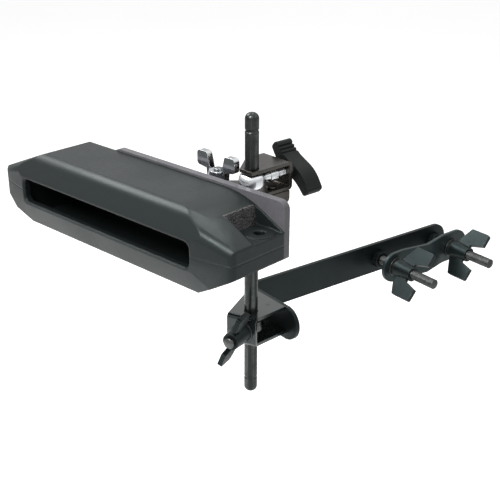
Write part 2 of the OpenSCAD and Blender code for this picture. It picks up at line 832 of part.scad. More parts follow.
module handle_outline() {
    tip_r = handle_t / 3;
    end = handle_len / 2 - tip_r;
    steps = [for (i = [0 : sweep_steps]) 2 * i / sweep_steps - 1];
    polygon(concat([for (s = steps) [s * end, sweep(s) - half_t(s)]],
        [for (i = [sweep_steps : -1 : 0]) [steps[i] * end, sweep(steps[i]) + half_t(steps[i])]]));
    for (x = [-end, end]) translate([x, -handle_shift]) {
        square([2 * tip_r, handle_t - 2 * tip_r], center = true);
        for (y = [tip_r - handle_t / 2, handle_t / 2 - tip_r]) translate([0, y]) circle(tip_r);
    }
}

// T handle that tightens the upper clamp
module t_handle() {
    seat = upper_web + washer_t;
    grip = seat + hub_len;
    color("darkslategray") upper_bolt_frame() difference() {
        union() {
            translate([0, 0, seat]) cylinder(d = hub_d, h = hub_len + over);
            rotate([0, 0, handle_tilt]) translate([0, 0, grip]) linear_extrude(handle_w) handle_outline();
        }
        translate([0, 0, seat - over]) cylinder(r = upper_bolt_d / 2 + run, h = upper_bolt_reach - seat + 2 * over);
        translate([0, 0, seat - over]) hexagon(hex_af + 2 * fit, hex_len + over);
        rotate([0, 0, handle_tilt]) for (i = [0 : groove_count - 1]) let (
            x = groove_from + i * groove_pitch - handle_len / 2, s = 2 * x / handle_len)
            translate([x, sweep(s) - half_t(s), grip - over]) cylinder(r = groove_r, h = handle_w + 2 * over);
    }
}

// Threaded hex insert of the T handle
module t_handle_insert() {
    color("goldenrod") upper_bolt_frame() translate([0, 0, upper_web + washer_t]) difference() {
        hexagon(hex_af, hex_len);
        translate([0, 0, -over]) cylinder(r = upper_bolt_d / 2 + run, h = hex_len + 2 * over);
    }
}

// Rod that carries the block
module mounting_rod() {
    end = rod_r - rod_tip_r;
    color("gray") rod_frame() translate([0, 0, -rod_below]) rotate_extrude() difference() {
        union() {
            translate([0, rod_tip_r]) square([rod_r, rod_len - 2 * rod_tip_r]);
            square([end, rod_len]);
            for (z = [rod_tip_r, rod_len - rod_tip_r]) translate([end, z]) intersection() {
                circle(rod_tip_r);
                translate([0, -rod_tip_r]) square(2 * rod_tip_r);
            }
        }
        for (z = [rod_land, rod_len - rod_land - rod_groove_w]) translate([rod_r - rod_groove_d, z])
            square([rod_tip_r, rod_groove_w]);
    }
}

// Flat arm with the tab that carries the lower clamp
module offset_arm() {
    far = arm_reach - tab_x;
    r_out = fold_r + strap_t;
    color("darkslategray") arm_frame() difference() {
        union() {
            intersection() {
                rotate([90, 0, 0]) translate([0, 0, -strap_t]) linear_extrude(strap_t) bar_outline(far - r_out);
                cube([3 * arm_reach, 2 * arm_reach, strap_w], center = true);
            }
            translate([-far, 0, 0]) rotate([90, 0, 90]) linear_extrude(strap_t) tab_outline(r_out);
            translate([r_out - far, strap_t - r_out, 0]) fold(r_out);
        }
        for (x = [-bolt_x, bolt_x]) translate([x, 0, -bolt_drop]) rotate([90, 0, 0])
            cylinder(r = bolt_d / 2 + fit, h = 3 * strap_t, center = true);
    }
}

module bar_outline(left) {
    r = strap_w / 2;
    translate([-left, -r]) square([left + bolt_x + over, strap_w]);
    translate([bolt_x + over, 0]) circle(r);
}

module tab_outline(r_out) {
    r = strap_w / 2;
    reach = arm_offset + tab_len - r;
    translate([-reach, -r]) square([reach + strap_t - r_out, strap_w]);
    translate([-reach, 0]) circle(r);
}

module fold(r_out) {
    linear_extrude(strap_w, center = true) intersection() {
        difference() {
            circle(r_out);
            circle(fold_r);
        }
        translate([-r_out, 0]) square(r_out);
    }
}

// Corner of the lower flanges at the arm's tab, u along the arm and v across it
function at_tab(u, v) = [v * sin(lower_yaw) - u * cos(lower_yaw), v * cos(lower_yaw) + u * sin(lower_yaw)];

// Channel that clamps the rod to the arm
module lower_channel() {
    near = lower_w - lower_far;
    color("dimgray") lower_frame() difference() {
        intersection() {
            folded_section(lower_web, lower_h, 3 * tab_x, 3 * strap_w);
            linear_extrude(2 * lower_h, center = true)
                polygon([[lower_web + over, -lower_far], [lower_web + over, near], [lower_web - bend_r, near],
                    at_tab(tab_x, flange_near), at_tab(tab_x, -flange_far), [lower_web - bend_r, -lower_far]]);
        }
        cylinder(r = rod_hole_r, h = 2 * lower_h, center = true);
        rotate([0, 90, 0]) cylinder(r = lower_bolt_d / 2 + fit, h = 2 * lower_web);
    }
}

// Eye bolt of the lower clamp
module lower_eye_bolt() {
    color("silver") lower_frame() difference() {
        union() {
            eye();
            rotate([0, 90, 0]) shank(lower_bolt_d, lower_bolt_reach);
        }
        cylinder(r = rod_hole_r, h = 2 * eye_h, center = true);
    }
}

module lower_washer() {
    color("silver") lower_frame() translate([lower_web, 0, 0]) rotate([0, 90, 0])
        ring(washer_d, lower_bolt_d / 2 + run, washer_t);
}

// One wing of a black wing nut: x away from the axis, y along it
module wing_outline(h) {
    r = wing_span / 2;
    root = nut_hub_d / 2;
    heel = h * ear_lean_share;
    notch = min(nut_hub_h, h * ear_notch_share);
    polygon(concat([[0, heel], [root, heel]],
        corner([r, h * ear_heel_share], [-1, -ear_heel_share] / norm([1, ear_heel_share]), [0, 1], wing_t / 2),
        corner([r, h], [0, -1], [-1, 0], wing_t / 2),
        [[r * ear_notch_share, h], [root, notch + heel], [0, notch]]));
}

// Black wing nut with its seat at the origin and its bolt along +Z
module wing_nut(bore_r, h) {
    difference() {
        union() {
            cylinder(r1 = nut_hub_d / 2, r2 = nut_front_d / 2, h = nut_hub_h);
            for (a = [0, 180]) rotate([90, 0, a]) linear_extrude(wing_t, center = true) wing_outline(h);
        }
        translate([0, 0, -over]) cylinder(r = bore_r, h = h + 2 * over);
    }
}

// Wing nut on the lower eye bolt
module lower_wing_nut() {
    color("black") lower_frame() translate([lower_web + washer_t, 0, 0]) rotate([0, 90, 0])
        rotate([0, 0, lower_wing_turn + 90]) wing_nut(lower_bolt_d / 2 + run, lower_wing_h);
}

// Hex bolts through the arm
module clamp_bolts() {
    color("silver") for (x = [-bolt_x, bolt_x]) bolt_frame(x) {
        translate([0, 0, -strap_t - bolt_head_h]) hexagon(bolt_head_af, bolt_head_h);
        translate([0, 0, -strap_t]) shank(bolt_d, bolt_reach + strap_t);
    }
}

// Nuts that lock the bolts to the arm
module clamp_lock_nuts() {
    color("dimgray") for (x = [-bolt_x, bolt_x]) bolt_frame(x) difference() {
        hexagon(bolt_head_af, lock_nut_h);
        translate([0, 0, -over]) cylinder(r = bolt_d / 2 + fit, h = lock_nut_h + 2 * over);
    }
}

// Bent strap that presses the tube against the arm
module clamp_jaw() {
    r = strap_w / 2;
    flat = bolt_x - jaw_pad;
    left = bolt_x + r;
    right = bolt_x + r + jaw_tail;
    color("darkslategray") arm_frame() translate([0, 0, -bolt_drop]) rotate([0, -jaw_tilt, 0]) difference() {
        intersection() {
            linear_extrude(strap_w, center = true)
                polygon([[-left, -jaw_gap], [-flat, -jaw_gap], [0, -jaw_gap - jaw_rise], [flat, -jaw_gap],
                    [right, -jaw_gap], [right, -jaw_front], [flat, -jaw_front], [0, -jaw_front - jaw_rise],
                    [-flat, -jaw_front], [-left, -jaw_front]]);
            rotate([90, 0, 0]) linear_extrude(jaw_front + jaw_rise + over) {
                translate([-bolt_x, -r]) square([2 * bolt_x + jaw_tail, strap_w]);
                translate([-bolt_x, 0]) circle(r);
                translate([bolt_x + jaw_tail, 0]) circle(r);
            }
        }
        for (x = [-bolt_x, bolt_x]) translate([x, 0, 0]) rotate([90, 0, 0])
            cylinder(r = bolt_d / 2 + jaw_clear, h = 2 * jaw_front);
    }
}

module clamp_washers() {
    color("silver") for (x = [-bolt_x, bolt_x]) bolt_frame(x)
        translate([0, 0, jaw_front]) ring(washer_d, bolt_d / 2 + run, washer_t);
}

// Split spring washers under the wing nuts
module clamp_spring_washers() {
    color("dimgray") for (x = [-bolt_x, bolt_x]) bolt_frame(x)
        translate([0, 0, jaw_front + washer_t]) difference() {
            ring(spring_d, bolt_d / 2 + run, spring_t);
            translate([0, -spring_gap / 2, -over]) cube([spring_d, spring_gap, spring_t + 2 * over]);
        }
}

module inner_wing_nut() {
    color("black") bolt_frame(-bolt_x) translate([0, 0, jaw_front + washer_t + spring_t])
        rotate([0, 0, clamp_wing_turn]) wing_nut(bolt_d / 2 + run, wing_h);
}

module outer_wing_nut() {
    color("black") bolt_frame(bolt_x) translate([0, 0, jaw_front + washer_t + spring_t])
        rotate([0, 0, clamp_wing_turn]) wing_nut(bolt_d / 2 + run, wing_h);
}

upper_shell();
lower_shell();
shell_screws();
shell_inserts();
back_rail();
rail_screws();
pivot_bolt();
pivot_washer();
pivot_wing_nut();
swivel_plate();
swivel_rivets();
upper_channel();
upper_eye_bolt();
upper_washer();
t_handle();
t_handle_insert();
mounting_rod();
offset_arm();
lower_channel();
lower_eye_bolt();
lower_washer();
lower_wing_nut();
clamp_bolts();
clamp_lock_nuts();
clamp_jaw();
clamp_washers();
clamp_spring_washers();
inner_wing_nut();
outer_wing_nut();
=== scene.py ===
"""Dresses the moulded block, its rod clamps and the stand clamp, and lights them for a studio picture.

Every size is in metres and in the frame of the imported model, whose nodes keep their places.
Run as a script, it calls its operators in order, which can also be pressed one by one in the sidebar.
"""

import math

import bmesh
import bpy
from mathutils import Matrix, Vector


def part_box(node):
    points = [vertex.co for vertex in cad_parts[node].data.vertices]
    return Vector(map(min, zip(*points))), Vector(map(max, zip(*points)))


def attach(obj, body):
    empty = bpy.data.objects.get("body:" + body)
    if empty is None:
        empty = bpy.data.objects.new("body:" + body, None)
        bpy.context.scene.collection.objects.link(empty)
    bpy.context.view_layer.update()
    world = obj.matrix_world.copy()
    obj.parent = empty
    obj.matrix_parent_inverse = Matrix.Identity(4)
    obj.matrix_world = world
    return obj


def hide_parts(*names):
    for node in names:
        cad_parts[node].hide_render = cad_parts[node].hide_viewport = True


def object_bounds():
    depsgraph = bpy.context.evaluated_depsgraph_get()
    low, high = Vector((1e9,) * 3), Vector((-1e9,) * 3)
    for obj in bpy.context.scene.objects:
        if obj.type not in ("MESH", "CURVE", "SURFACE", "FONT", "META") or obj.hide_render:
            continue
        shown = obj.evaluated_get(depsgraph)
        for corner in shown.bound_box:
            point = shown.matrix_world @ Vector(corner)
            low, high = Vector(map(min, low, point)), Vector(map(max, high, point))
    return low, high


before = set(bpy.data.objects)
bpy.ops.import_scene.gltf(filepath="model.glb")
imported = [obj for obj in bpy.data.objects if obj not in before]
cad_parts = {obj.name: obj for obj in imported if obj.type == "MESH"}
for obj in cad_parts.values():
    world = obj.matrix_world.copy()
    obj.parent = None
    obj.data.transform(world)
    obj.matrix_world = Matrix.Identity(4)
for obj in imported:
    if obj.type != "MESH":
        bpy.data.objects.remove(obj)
cad_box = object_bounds()

bl_info = {
    "name": "Woodblock on its clamp mount",
    "version": (1, 0, 0),
    "blender": (4, 5, 0),
    "location": "View3D > Sidebar > Woodblock",
    "description": "Finishes, threads, knurls and a studio for a moulded block on a clamp mount",
    "category": "Object",
}

# Places and directions that the construction fixes
ROD_AXIS = Vector((0.0016433, -0.1945409, 0.0))
CLAMP_OUT = Vector((0.9848078, -0.1736482, 0.0))
CLAMP_BOLTS = [Vector((0.005696, 0.032302, -0.001)), Vector((-0.005696, -0.032302, -0.001))]
PIVOT = Vector((-0.0323567, -0.192041, 0.0))
UPPER_BOLT = Vector((0.0872, 0.9962, 0.0))
LOWER_BOLT = Vector((0.2588, -0.9659, 0.0))

# Place of the stamped mark from the rod's axis
MARK_OFFSET = Vector((0.0029, 0.0144, 0.0))

# Radii of the two sizes of bolt
SMALL_BOLT = 0.003175
LARGE_BOLT = 0.00397

# Directions of the lamps from the object's middle, and the point that the camera looks at
LAMPS = {"key": (-0.63, -0.20, 0.75), "fill": (0.08, -0.75, 0.69), "top": (-0.1, 0.27, 0.96)}
CAMERA_AIM = Vector((0.0009733, -0.1951709, 0.0596))

# Tints of the gloss on the plastics and on the black steel
PLASTIC_TINT = (0.88, 1.0, 0.98, 1.0)
STEEL_TINT = (0.74, 0.98, 1.0, 1.0)

# Lowest and highest corners around the inner walls of the two end pockets, which have a coarser mould texture
POCKET_WALLS = [((0.0176, -0.2384, 0.0888), (0.0212, -0.2102, 0.1055)),
                ((-0.1739, -0.2384, 0.0888), (-0.1703, -0.2102, 0.1055))]

# Colour of the painted glints on the raised tips of that texture, and of the steel under rubbed paint, also
# used to paint edge highlights
PAINTED_GLINT_COLOUR = (0.14, 0.13, 0.134, 1.0)
BARE_STEEL_AND_HIGHLIGHT = (0.2, 0.2, 0.19, 1.0)

# Soft edges of the carried-over nodes: radius and steps. The brass inserts keep their edges
SOFT_EDGES = {
    "upper_shell": (0.0007, 3),
    "lower_shell": (0.0007, 3),
    "back_rail": (0.0009, 3),
    "t_handle": (0.0013, 4),
    "upper_channel": (0.0004, 2),
    "lower_channel": (0.0004, 2),
    "swivel_plate": (0.0004, 2),
    "offset_arm": (0.0006, 3),
    "clamp_jaw": (0.0006, 3),
    "inner_wing_nut": (0.0008, 3),
    "outer_wing_nut": (0.0008, 3),
    "lower_wing_nut": (0.0008, 3),
    "pivot_wing_nut": (0.0016, 4),
    "clamp_lock_nuts": (0.0003, 2),
    "swivel_rivets": (0.0004, 3),
    "shell_screws": (0.00015, 2),
    "rail_screws": (0.00015, 2),
    "clamp_washers": (0.0002, 2),
    "clamp_spring_washers": (0.00015, 2),
    "lower_washer": (0.0002, 2),
    "upper_washer": (0.0002, 2),
    "pivot_washer": (0.0002, 2),
}


# Shader nodes

def place(tree, kind, **settings):
    """Adds one node. Settings that are not attributes of the node are values of its inputs."""
    node = tree.nodes.new(kind)
    for key, value in settings.items():
        if hasattr(node, key):
            setattr(node, key, value)
        else:
            node.inputs[key.replace("_", " ")].default_value = value
    return node


def wire(tree, source, target):
    """Links a socket to an input, or sets the input where the source is a number or a colour."""
    if isinstance(source, (int, float, tuple)):
        target.default_value = source
    else:
        tree.links.new(source, target)


def maths(tree, operation, first, second=None, clamp=False):
    """One arithmetic step; each operand is a socket or a number."""
    node = place(tree, "ShaderNodeMath", operation=operation, use_clamp=clamp)
    wire(tree, first, node.inputs[0])
    if second is not None:
        wire(tree, second, node.inputs[1])
    return node.outputs[0]


def vector_maths(tree, operation, first, second):
    """One step of vector arithmetic between two sockets."""
    node = place(tree, "ShaderNodeVectorMath", operation=operation)
    wire(tree, first, node.inputs[0])
    wire(tree, second, node.inputs[1])
    return node.outputs["Value" if operation in ("DOT_PRODUCT", "DISTANCE") else "Vector"]


def span(tree, value, low, high, new_low=0.0, new_high=1.0, smooth=False):
    """Maps a socket's values from one range to another; each end is a number or a socket."""
    node = place(tree, "ShaderNodeMapRange", interpolation_type="SMOOTHSTEP" if smooth else "LINEAR")
    wire(tree, value, node.inputs["Value"])
    for name, end in zip(("From Min", "From Max", "To Min", "To Max"), (low, high, new_low, new_high)):
        wire(tree, end, node.inputs[name])
    return node.outputs["Result"]


def blend_colours(tree, factor, first, second):
    """Goes from the first colour to the second as the factor goes from 0 to 1."""
    node = place(tree, "ShaderNodeMix", data_type="RGBA")
    for index, source in ((0, factor), (6, first), (7, second)):
        wire(tree, source, node.inputs[index])
    return node.outputs[2]


def group(name, inputs, outputs):
    """Starts a shared node group with inputs (name, kind, default) and outputs (name, kind).

    Gives its tree, the sockets that its inputs arrive at and the sockets that its outputs leave from.
    """
    tree = bpy.data.node_groups.new(name, "ShaderNodeTree")
    for label, kind, default in inputs:
        socket = tree.interface.new_socket(label, in_out="INPUT", socket_type="NodeSocket" + kind)
        socket.default_value = default
    for label, kind in outputs:
        tree.interface.new_socket(label, in_out="OUTPUT", socket_type="NodeSocket" + kind)
    return tree, tree.nodes.new("NodeGroupInput").outputs, tree.nodes.new("NodeGroupOutput").inputs


def object_points(tree):
    """Places in the object's own space, which move with it."""
    return tree.nodes.new("ShaderNodeTexCoord").outputs["Object"]


def make_moulded_grain():
    """Spark-eroded mould texture: rounded pits with a softer waviness under them."""
    tree, given, made = group(
        "Moulded grain",
        [("Grain per metre", "Float", 2600.0), ("Waviness", "Float", 0.35)],
        [("Height", "Float")],
    )
    points = object_points(tree)
    swells_per_pit = 0.12
    pits = place(tree, "ShaderNodeTexVoronoi", feature="SMOOTH_F1", Smoothness=0.6)
    wire(tree, points, pits.inputs["Vector"])
    wire(tree, given["Grain per metre"], pits.inputs["Scale"])
    swell = place(tree, "ShaderNodeTexNoise", Detail=2.0)
    wire(tree, points, swell.inputs["Vector"])
    wire(tree, maths(tree, "MULTIPLY", given["Grain per metre"], swells_per_pit), swell.inputs["Scale"])
    waves = maths(tree, "MULTIPLY", swell.outputs[0], given["Waviness"])
    wire(tree, maths(tree, "ADD", pits.outputs["Distance"], waves), made["Height"])
    return tree


def make_edge_wear_and_highlight():
    """White along edges, broken up by a fine noise: where an edge is rubbed, and where it serves as a painted
    edge highlight.
    """
    tree, given, made = group(
        "Edge wear",
        [("Width", "Float", 0.0008), ("Strength", "Float", 1.0), ("Breaks per metre", "Float", 900.0)],
        [("Mask", "Float")],
    )
    flat_cosine, sharp_cosine = 0.995, 0.86
    whole, broken_up = 0.64, 0.42
    round_off = place(tree, "ShaderNodeBevel", samples=4)
    wire(tree, given["Width"], round_off.inputs["Radius"])
    facing = tree.nodes.new("ShaderNodeNewGeometry").outputs["Normal"]
    turn = vector_maths(tree, "DOT_PRODUCT", round_off.outputs[0], facing)
    edge = span(tree, turn, flat_cosine, sharp_cosine)
    noise = place(tree, "ShaderNodeTexNoise", Detail=4.0, Roughness=0.7)
    wire(tree, object_points(tree), noise.inputs["Vector"])
    wire(tree, given["Breaks per metre"], noise.inputs["Scale"])
    broken = span(tree, noise.outputs[0], broken_up, whole)
    rubbed = maths(tree, "MULTIPLY", edge, broken)
    wire(tree, maths(tree, "MULTIPLY", rubbed, given["Strength"], clamp=True), made["Mask"])
    return tree


def make_tone_drift():
    """Slow change of tone over a surface, with a finer cloud in it."""
    tree, given, made = group(
        "Tone drift",
        [("Colour", "Color", (0.5, 0.5, 0.5, 1)), ("Other tone", "Color", (0.4, 0.4, 0.4, 1)),
         ("Patches per metre", "Float", 30.0), ("Cloud", "Float", 0.5)],
        [("Colour", "Color"), ("Mask", "Float")],
    )
    points = object_points(tree)
    finer, first_tone, other_tone = 14.0, 0.35, 0.65
    large = place(tree, "ShaderNodeTexNoise", Detail=3.0, Roughness=0.55)
    fine = place(tree, "ShaderNodeTexNoise", Detail=5.0, Roughness=0.65)
    for noise in (large, fine):
        wire(tree, points, noise.inputs["Vector"])
    wire(tree, given["Patches per metre"], large.inputs["Scale"])
    wire(tree, maths(tree, "MULTIPLY", given["Patches per metre"], finer), fine.inputs["Scale"])
    cloud = maths(tree, "MULTIPLY", maths(tree, "SUBTRACT", fine.outputs[0], 0.5), given["Cloud"])
    mask = span(tree, maths(tree, "ADD", large.outputs[0], cloud), first_tone, other_tone)
    wire(tree, blend_colours(tree, mask, given["Colour"], given["Other tone"]), made["Colour"])
    wire(tree, mask, made["Mask"])
    return tree


def make_box_mask():
    """White inside a box of the object's space."""
    tree, given, made = group(
        "Box mask",
        [("Low", "Vector", (0, 0, 0)), ("High", "Vector", (1, 1, 1))],
        [("Mask", "Float")],
    )
    points = object_points(tree)
    above = place(tree, "ShaderNodeSeparateXYZ")
    below = place(tree, "ShaderNodeSeparateXYZ")
    wire(tree, vector_maths(tree, "SUBTRACT", points, given["Low"]), above.inputs[0])
    wire(tree, vector_maths(tree, "SUBTRACT", given["High"], points), below.inputs[0])
    least = None
    for reach in list(above.outputs) + list(below.outputs):
        least = maths(tree, "MINIMUM", least, reach) if least else reach
    wire(tree, maths(tree, "GREATER_THAN", least, 0.0), made["Mask"])
    return tree


def make_soft_swell():
    """Very shallow waves, as polished or plated metal shows them in its reflections."""
    tree, given, made = group(
        "Soft swell",
        [("Swells per metre", "Float", 200.0)],
        [("Height", "Float")],
    )
    noise = place(tree, "ShaderNodeTexNoise", Detail=1.0, Roughness=0.4)
    wire(tree, object_points(tree), noise.inputs["Vector"])
    wire(tree, given["Swells per metre"], noise.inputs["Scale"])
    wire(tree, noise.outputs[0], made["Height"])
    return tree


def make_hairlines():
    """Thin lines, such as handling lines, and on the rod the dark bands painted as reflections; they run in the
    direction whose stretch is least.
    """
    tree, given, made = group(
        "Hairlines",
        [("Stretch", "Vector", (1.0, 1.0, 0.05)), ("Lines per metre", "Float", 2500.0),
         ("Share", "Float", 0.4)],
        [("Height", "Float")],
    )
    noise = place(tree, "ShaderNodeTexNoise", Detail=2.0, Roughness=0.5)
    wire(tree, vector_maths(tree, "MULTIPLY", object_points(tree), given["Stretch"]), noise.inputs["Vector"])
    wire(tree, given["Lines per metre"], noise.inputs["Scale"])
    top = maths(tree, "SUBTRACT", 1.0, given["Share"])
    wire(tree, span(tree, noise.outputs[0], top, 1.0), made["Height"])
    return tree


def make_stamped_mark():
    """Height of a small punched ring with a dot, as a press tool leaves on sheet steel."""
    tree, given, made = group(
        "Stamped mark",
        [("Place", "Vector", (0, 0, 0)), ("Radius", "Float", 0.0014)],
        [("Height", "Float")],
    )
    ring_at, ring_width, dot_flat, dot_end = 0.85, 0.3, 0.1, 0.5
    away = vector_maths(tree, "DISTANCE", object_points(tree), given["Place"])
    reach = maths(tree, "DIVIDE", away, given["Radius"])
    from_ring = maths(tree, "ABSOLUTE", maths(tree, "SUBTRACT", reach, ring_at))
    circle = span(tree, from_ring, 0.0, ring_width, 1.0, 0.0, True)
    dot = span(tree, reach, dot_flat, dot_end, 1.0, 0.0, True)
    wire(tree, maths(tree, "MULTIPLY", maths(tree, "ADD", circle, dot), -1.0), made["Height"])
    return tree


GROUPS = {
    "Moulded grain": make_moulded_grain,
    "Edge wear": make_edge_wear_and_highlight,
    "Tone drift": make_tone_drift,
    "Box mask": make_box_mask,
    "Soft swell": make_soft_swell,
    "Hairlines": make_hairlines,
    "Stamped mark": make_stamped_mark,
}


def effect(tree, name, **values):
    """Places a shared effect in a material, with its own values."""
    node = tree.nodes.new("ShaderNodeGroup")
    node.node_tree = bpy.data.node_groups.get(name) or GROUPS[name]()
    node.label = name
    for key, value in values.items():
        node.inputs[key.replace("_", " ")].default_value = value
    return node.outputs


def start_material(name, roughness, metallic=0.0, ior=1.5, coat=0.0, coat_roughness=0.1):
    """A material with its Principled shader; what is even over the surface is set on it directly."""
    material = bpy.data.materials.new(name)
    material.use_nodes = True
    tree = material.node_tree
    shader = tree.nodes["Principled BSDF"]
    for key, value in (("Roughness", roughness), ("Metallic", metallic), ("IOR", ior), ("Coat Weight", coat),
                       ("Coat Roughness", coat_roughness)):
        shader.inputs[key].default_value = value
    return material, tree, shader


def raise_surface(tree, shader, heights, rounding=0.0):
    """Chains bumps of (height socket, distance) into the shader's normal, over edges rounded by a radius."""
    last = None
    if rounding:
        last = place(tree, "ShaderNodeBevel", samples=6, Radius=rounding).outputs[0]
    for height, distance in heights:
        bump = place(tree, "ShaderNodeBump", Distance=distance)
        wire(tree, height, bump.inputs["Height"])
        if last:
            wire(tree, last, bump.inputs["Normal"])
        last = bump.outputs[0]
    if last:
        wire(tree, last, shader.inputs["Normal"])


def deeper(colour, share):
    """A colour at a share of its brightness."""
    return tuple(c * share for c in colour[:3]) + (1.0,)


def moulded_plastic(name, colour, roughness, grain, depth, wear, rounding, ior=1.38, coarse=()):
    """Moulded plastic: mould grain, slow tone drift, edges rubbed pale and duller, the pale edges also serving
    as a painted edge highlight.

    Each box in coarse, a lowest and a highest corner, holds a wall with a coarser grain whose raised tips are
    painted lighter as glints.
    """
    darker, edge_gain, edge_base, rub_dulls = 0.8, 2.6, 0.012, 0.1
    glossier, duller, scuff_share = 0.03, 0.05, 0.5
    coarse_grain, coarse_depth, glint_start, glint_full = 1250.0, 0.0003, 0.58, 0.72
    material, tree, shader = start_material(name, roughness, ior=ior)
    shader.inputs["Specular Tint"].default_value = PLASTIC_TINT
    tone = effect(tree, "Tone drift", Colour=colour, Other_tone=deeper(colour, darker), Patches_per_metre=22.0,
                  Cloud=0.6)
    edge_wear_and_highlight = effect(tree, "Edge wear", Width=0.0011, Strength=wear, Breaks_per_metre=1100.0)["Mask"]
    pale = tuple(min(1.0, c * edge_gain + edge_base) for c in colour[:3]) + (1.0,)
    # Pale edges: rubbed wear, and a painted edge highlight.
    shown = blend_colours(tree, edge_wear_and_highlight, tone["Colour"], pale)
    dull = span(tree, tone["Mask"], 0.0, 1.0, roughness - glossier, roughness + duller)
    wire(tree, maths(tree, "ADD", dull, maths(tree, "MULTIPLY", edge_wear_and_highlight, rub_dulls)), shader.inputs["Roughness"])
    pits = effect(tree, "Moulded grain", Grain_per_metre=grain)["Height"]
    scuffs = effect(tree, "Hairlines", Stretch=(0.06, 1.0, 1.0), Lines_per_metre=1400.0, Share=0.3)["Height"]
    heights = [(pits, depth), (scuffs, -depth * scuff_share)]
    for low, high in coarse:
        inside = effect(tree, "Box mask", Low=low, High=high)["Mask"]
        heavy = effect(tree, "Moulded grain", Grain_per_metre=coarse_grain)["Height"]
        heights.append((maths(tree, "MULTIPLY", heavy, inside), coarse_depth))
        # Painted highlight: the raised tips of the coarse grain are painted lighter as glints.
        painted_glints = maths(tree, "MULTIPLY", span(tree, heavy, glint_start, glint_full), inside)
        shown = blend_colours(tree, painted_glints, shown, PAINTED_GLINT_COLOUR)
    wire(tree, shown, shader.inputs["Base Color"])
    raise_surface(tree, shader, heights, rounding)
    return material


def satin_steel(name, colour, roughness, wear, metallic=0.0, coat=0.0, marks=(), ior=1.38):
    """Painted or blackened steel: orange peel, rubbed edges with bare metal that also serve as painted edge
    highlights, faint handling lines.

    Each of marks, a place and a radius, is a small stamped ring.
    """
    darker, glossier, duller, rounding = 0.72, 0.04, 0.06, 0.0005
    peel_depth, line_depth, stamp_depth = 0.000012, 0.00001, 0.0012
    material, tree, shader = start_material(name, roughness, metallic, ior, coat, coat_roughness=0.15)
    if not metallic:
        shader.inputs["Specular Tint"].default_value = STEEL_TINT
    tone = effect(tree, "Tone drift", Colour=colour, Other_tone=deeper(colour, darker), Patches_per_metre=45.0,
                  Cloud=0.8)
    edge_wear_and_highlight = effect(tree, "Edge wear", Width=0.0007, Strength=wear, Breaks_per_metre=1500.0)["Mask"]
    # Edges go to bare steel: rubbed wear, and a painted edge highlight.
    wire(tree, blend_colours(tree, edge_wear_and_highlight, tone["Colour"], BARE_STEEL_AND_HIGHLIGHT), shader.inputs["Base Color"])
    dull = span(tree, tone["Mask"], 0.0, 1.0, roughness - glossier, roughness + duller)
    wire(tree, dull, shader.inputs["Roughness"])
    wire(tree, maths(tree, "MAXIMUM", edge_wear_and_highlight, metallic), shader.inputs["Metallic"])
    peel = effect(tree, "Moulded grain", Grain_per_metre=1500.0, Waviness=0.8)["Height"]
    lines = effect(tree, "Hairlines", Stretch=(1.0, 0.07, 1.0), Lines_per_metre=2200.0, Share=0.35)["Height"]
    heights = [(peel, peel_depth), (lines, -line_depth)]
    for spot, radius in marks:
        heights.append((effect(tree, "Stamped mark", Place=spot, Radius=radius)["Height"], stamp_depth))
    raise_surface(tree, shader, heights, rounding)
    return material


def plated_steel(name, colour, roughness, cloud, ripple=0.00004, rounding=0.0004, painted_bands=0.0):
    """Chrome or zinc plate: a clear metal with faint clouds and shallow swells, and, where asked, dark bands
    along its length painted as reflections.
    """
    band_gain, band_depth, edge_gain, cloud_dulls = 2.5, 0.35, 1.15, 0.09
    material, tree, shader = start_material(name, roughness, 1.0)
    tone = effect(tree, "Tone drift", Colour=colour, Other_tone=deeper(colour, 1.0 - cloud),
                  Patches_per_metre=160.0, Cloud=1.0)
    edge_wear_and_highlight = effect(tree, "Edge wear", Width=0.0006, Strength=0.5, Breaks_per_metre=2000.0)["Mask"]
    plain = tone["Colour"]
    # Painted reflection: dark bands along the length stand for reflected bands.
    if painted_bands:
        band_lines = effect(tree, "Hairlines", Stretch=(1.0, 1.0, 0.02), Lines_per_metre=420.0, Share=0.55)["Height"]
        shade = maths(tree, "MULTIPLY", band_lines, band_gain * painted_bands, True)
        plain = blend_colours(tree, shade, deeper(colour, band_depth), tone["Colour"])
    # Edges a little brighter: wear, and a painted edge highlight.
    wire(tree, blend_colours(tree, edge_wear_and_highlight, plain, deeper(colour, edge_gain)), shader.inputs["Base Color"])
    dull = span(tree, tone["Mask"], 0.0, 1.0, roughness, roughness + cloud_dulls)
    wire(tree, dull, shader.inputs["Roughness"])
    swell = effect(tree, "Soft swell", Swells_per_metre=230.0)["Height"]
    raise_surface(tree, shader, [(swell, ripple)], rounding)
    return material


# Meshes

def even_shading():
    """Geometry nodes that shade every face smoothly, so that the weighted normals decide."""
    tree = bpy.data.node_groups.get("Even shading")
    if tree:
        return tree
    tree = bpy.data.node_groups.new("Even shading", "GeometryNodeTree")
    tree.interface.new_socket("Geometry", in_out="INPUT", socket_type="NodeSocketGeometry")
    tree.interface.new_socket("Geometry", in_out="OUTPUT", socket_type="NodeSocketGeometry")
    start, end = tree.nodes.new("NodeGroupInput"), tree.nodes.new("NodeGroupOutput")
    smooth = tree.nodes.new("GeometryNodeSetShadeSmooth")
    tree.links.new(start.outputs[0], smooth.inputs["Geometry"])
    tree.links.new(smooth.outputs["Geometry"], end.inputs[0])
    return tree


def join_faces(piece):
    """Joins a node's faces where their edges meet, with a modifier."""
    join = piece.modifiers.new("Joined faces", "WELD")
    join.merge_threshold = 0.000002


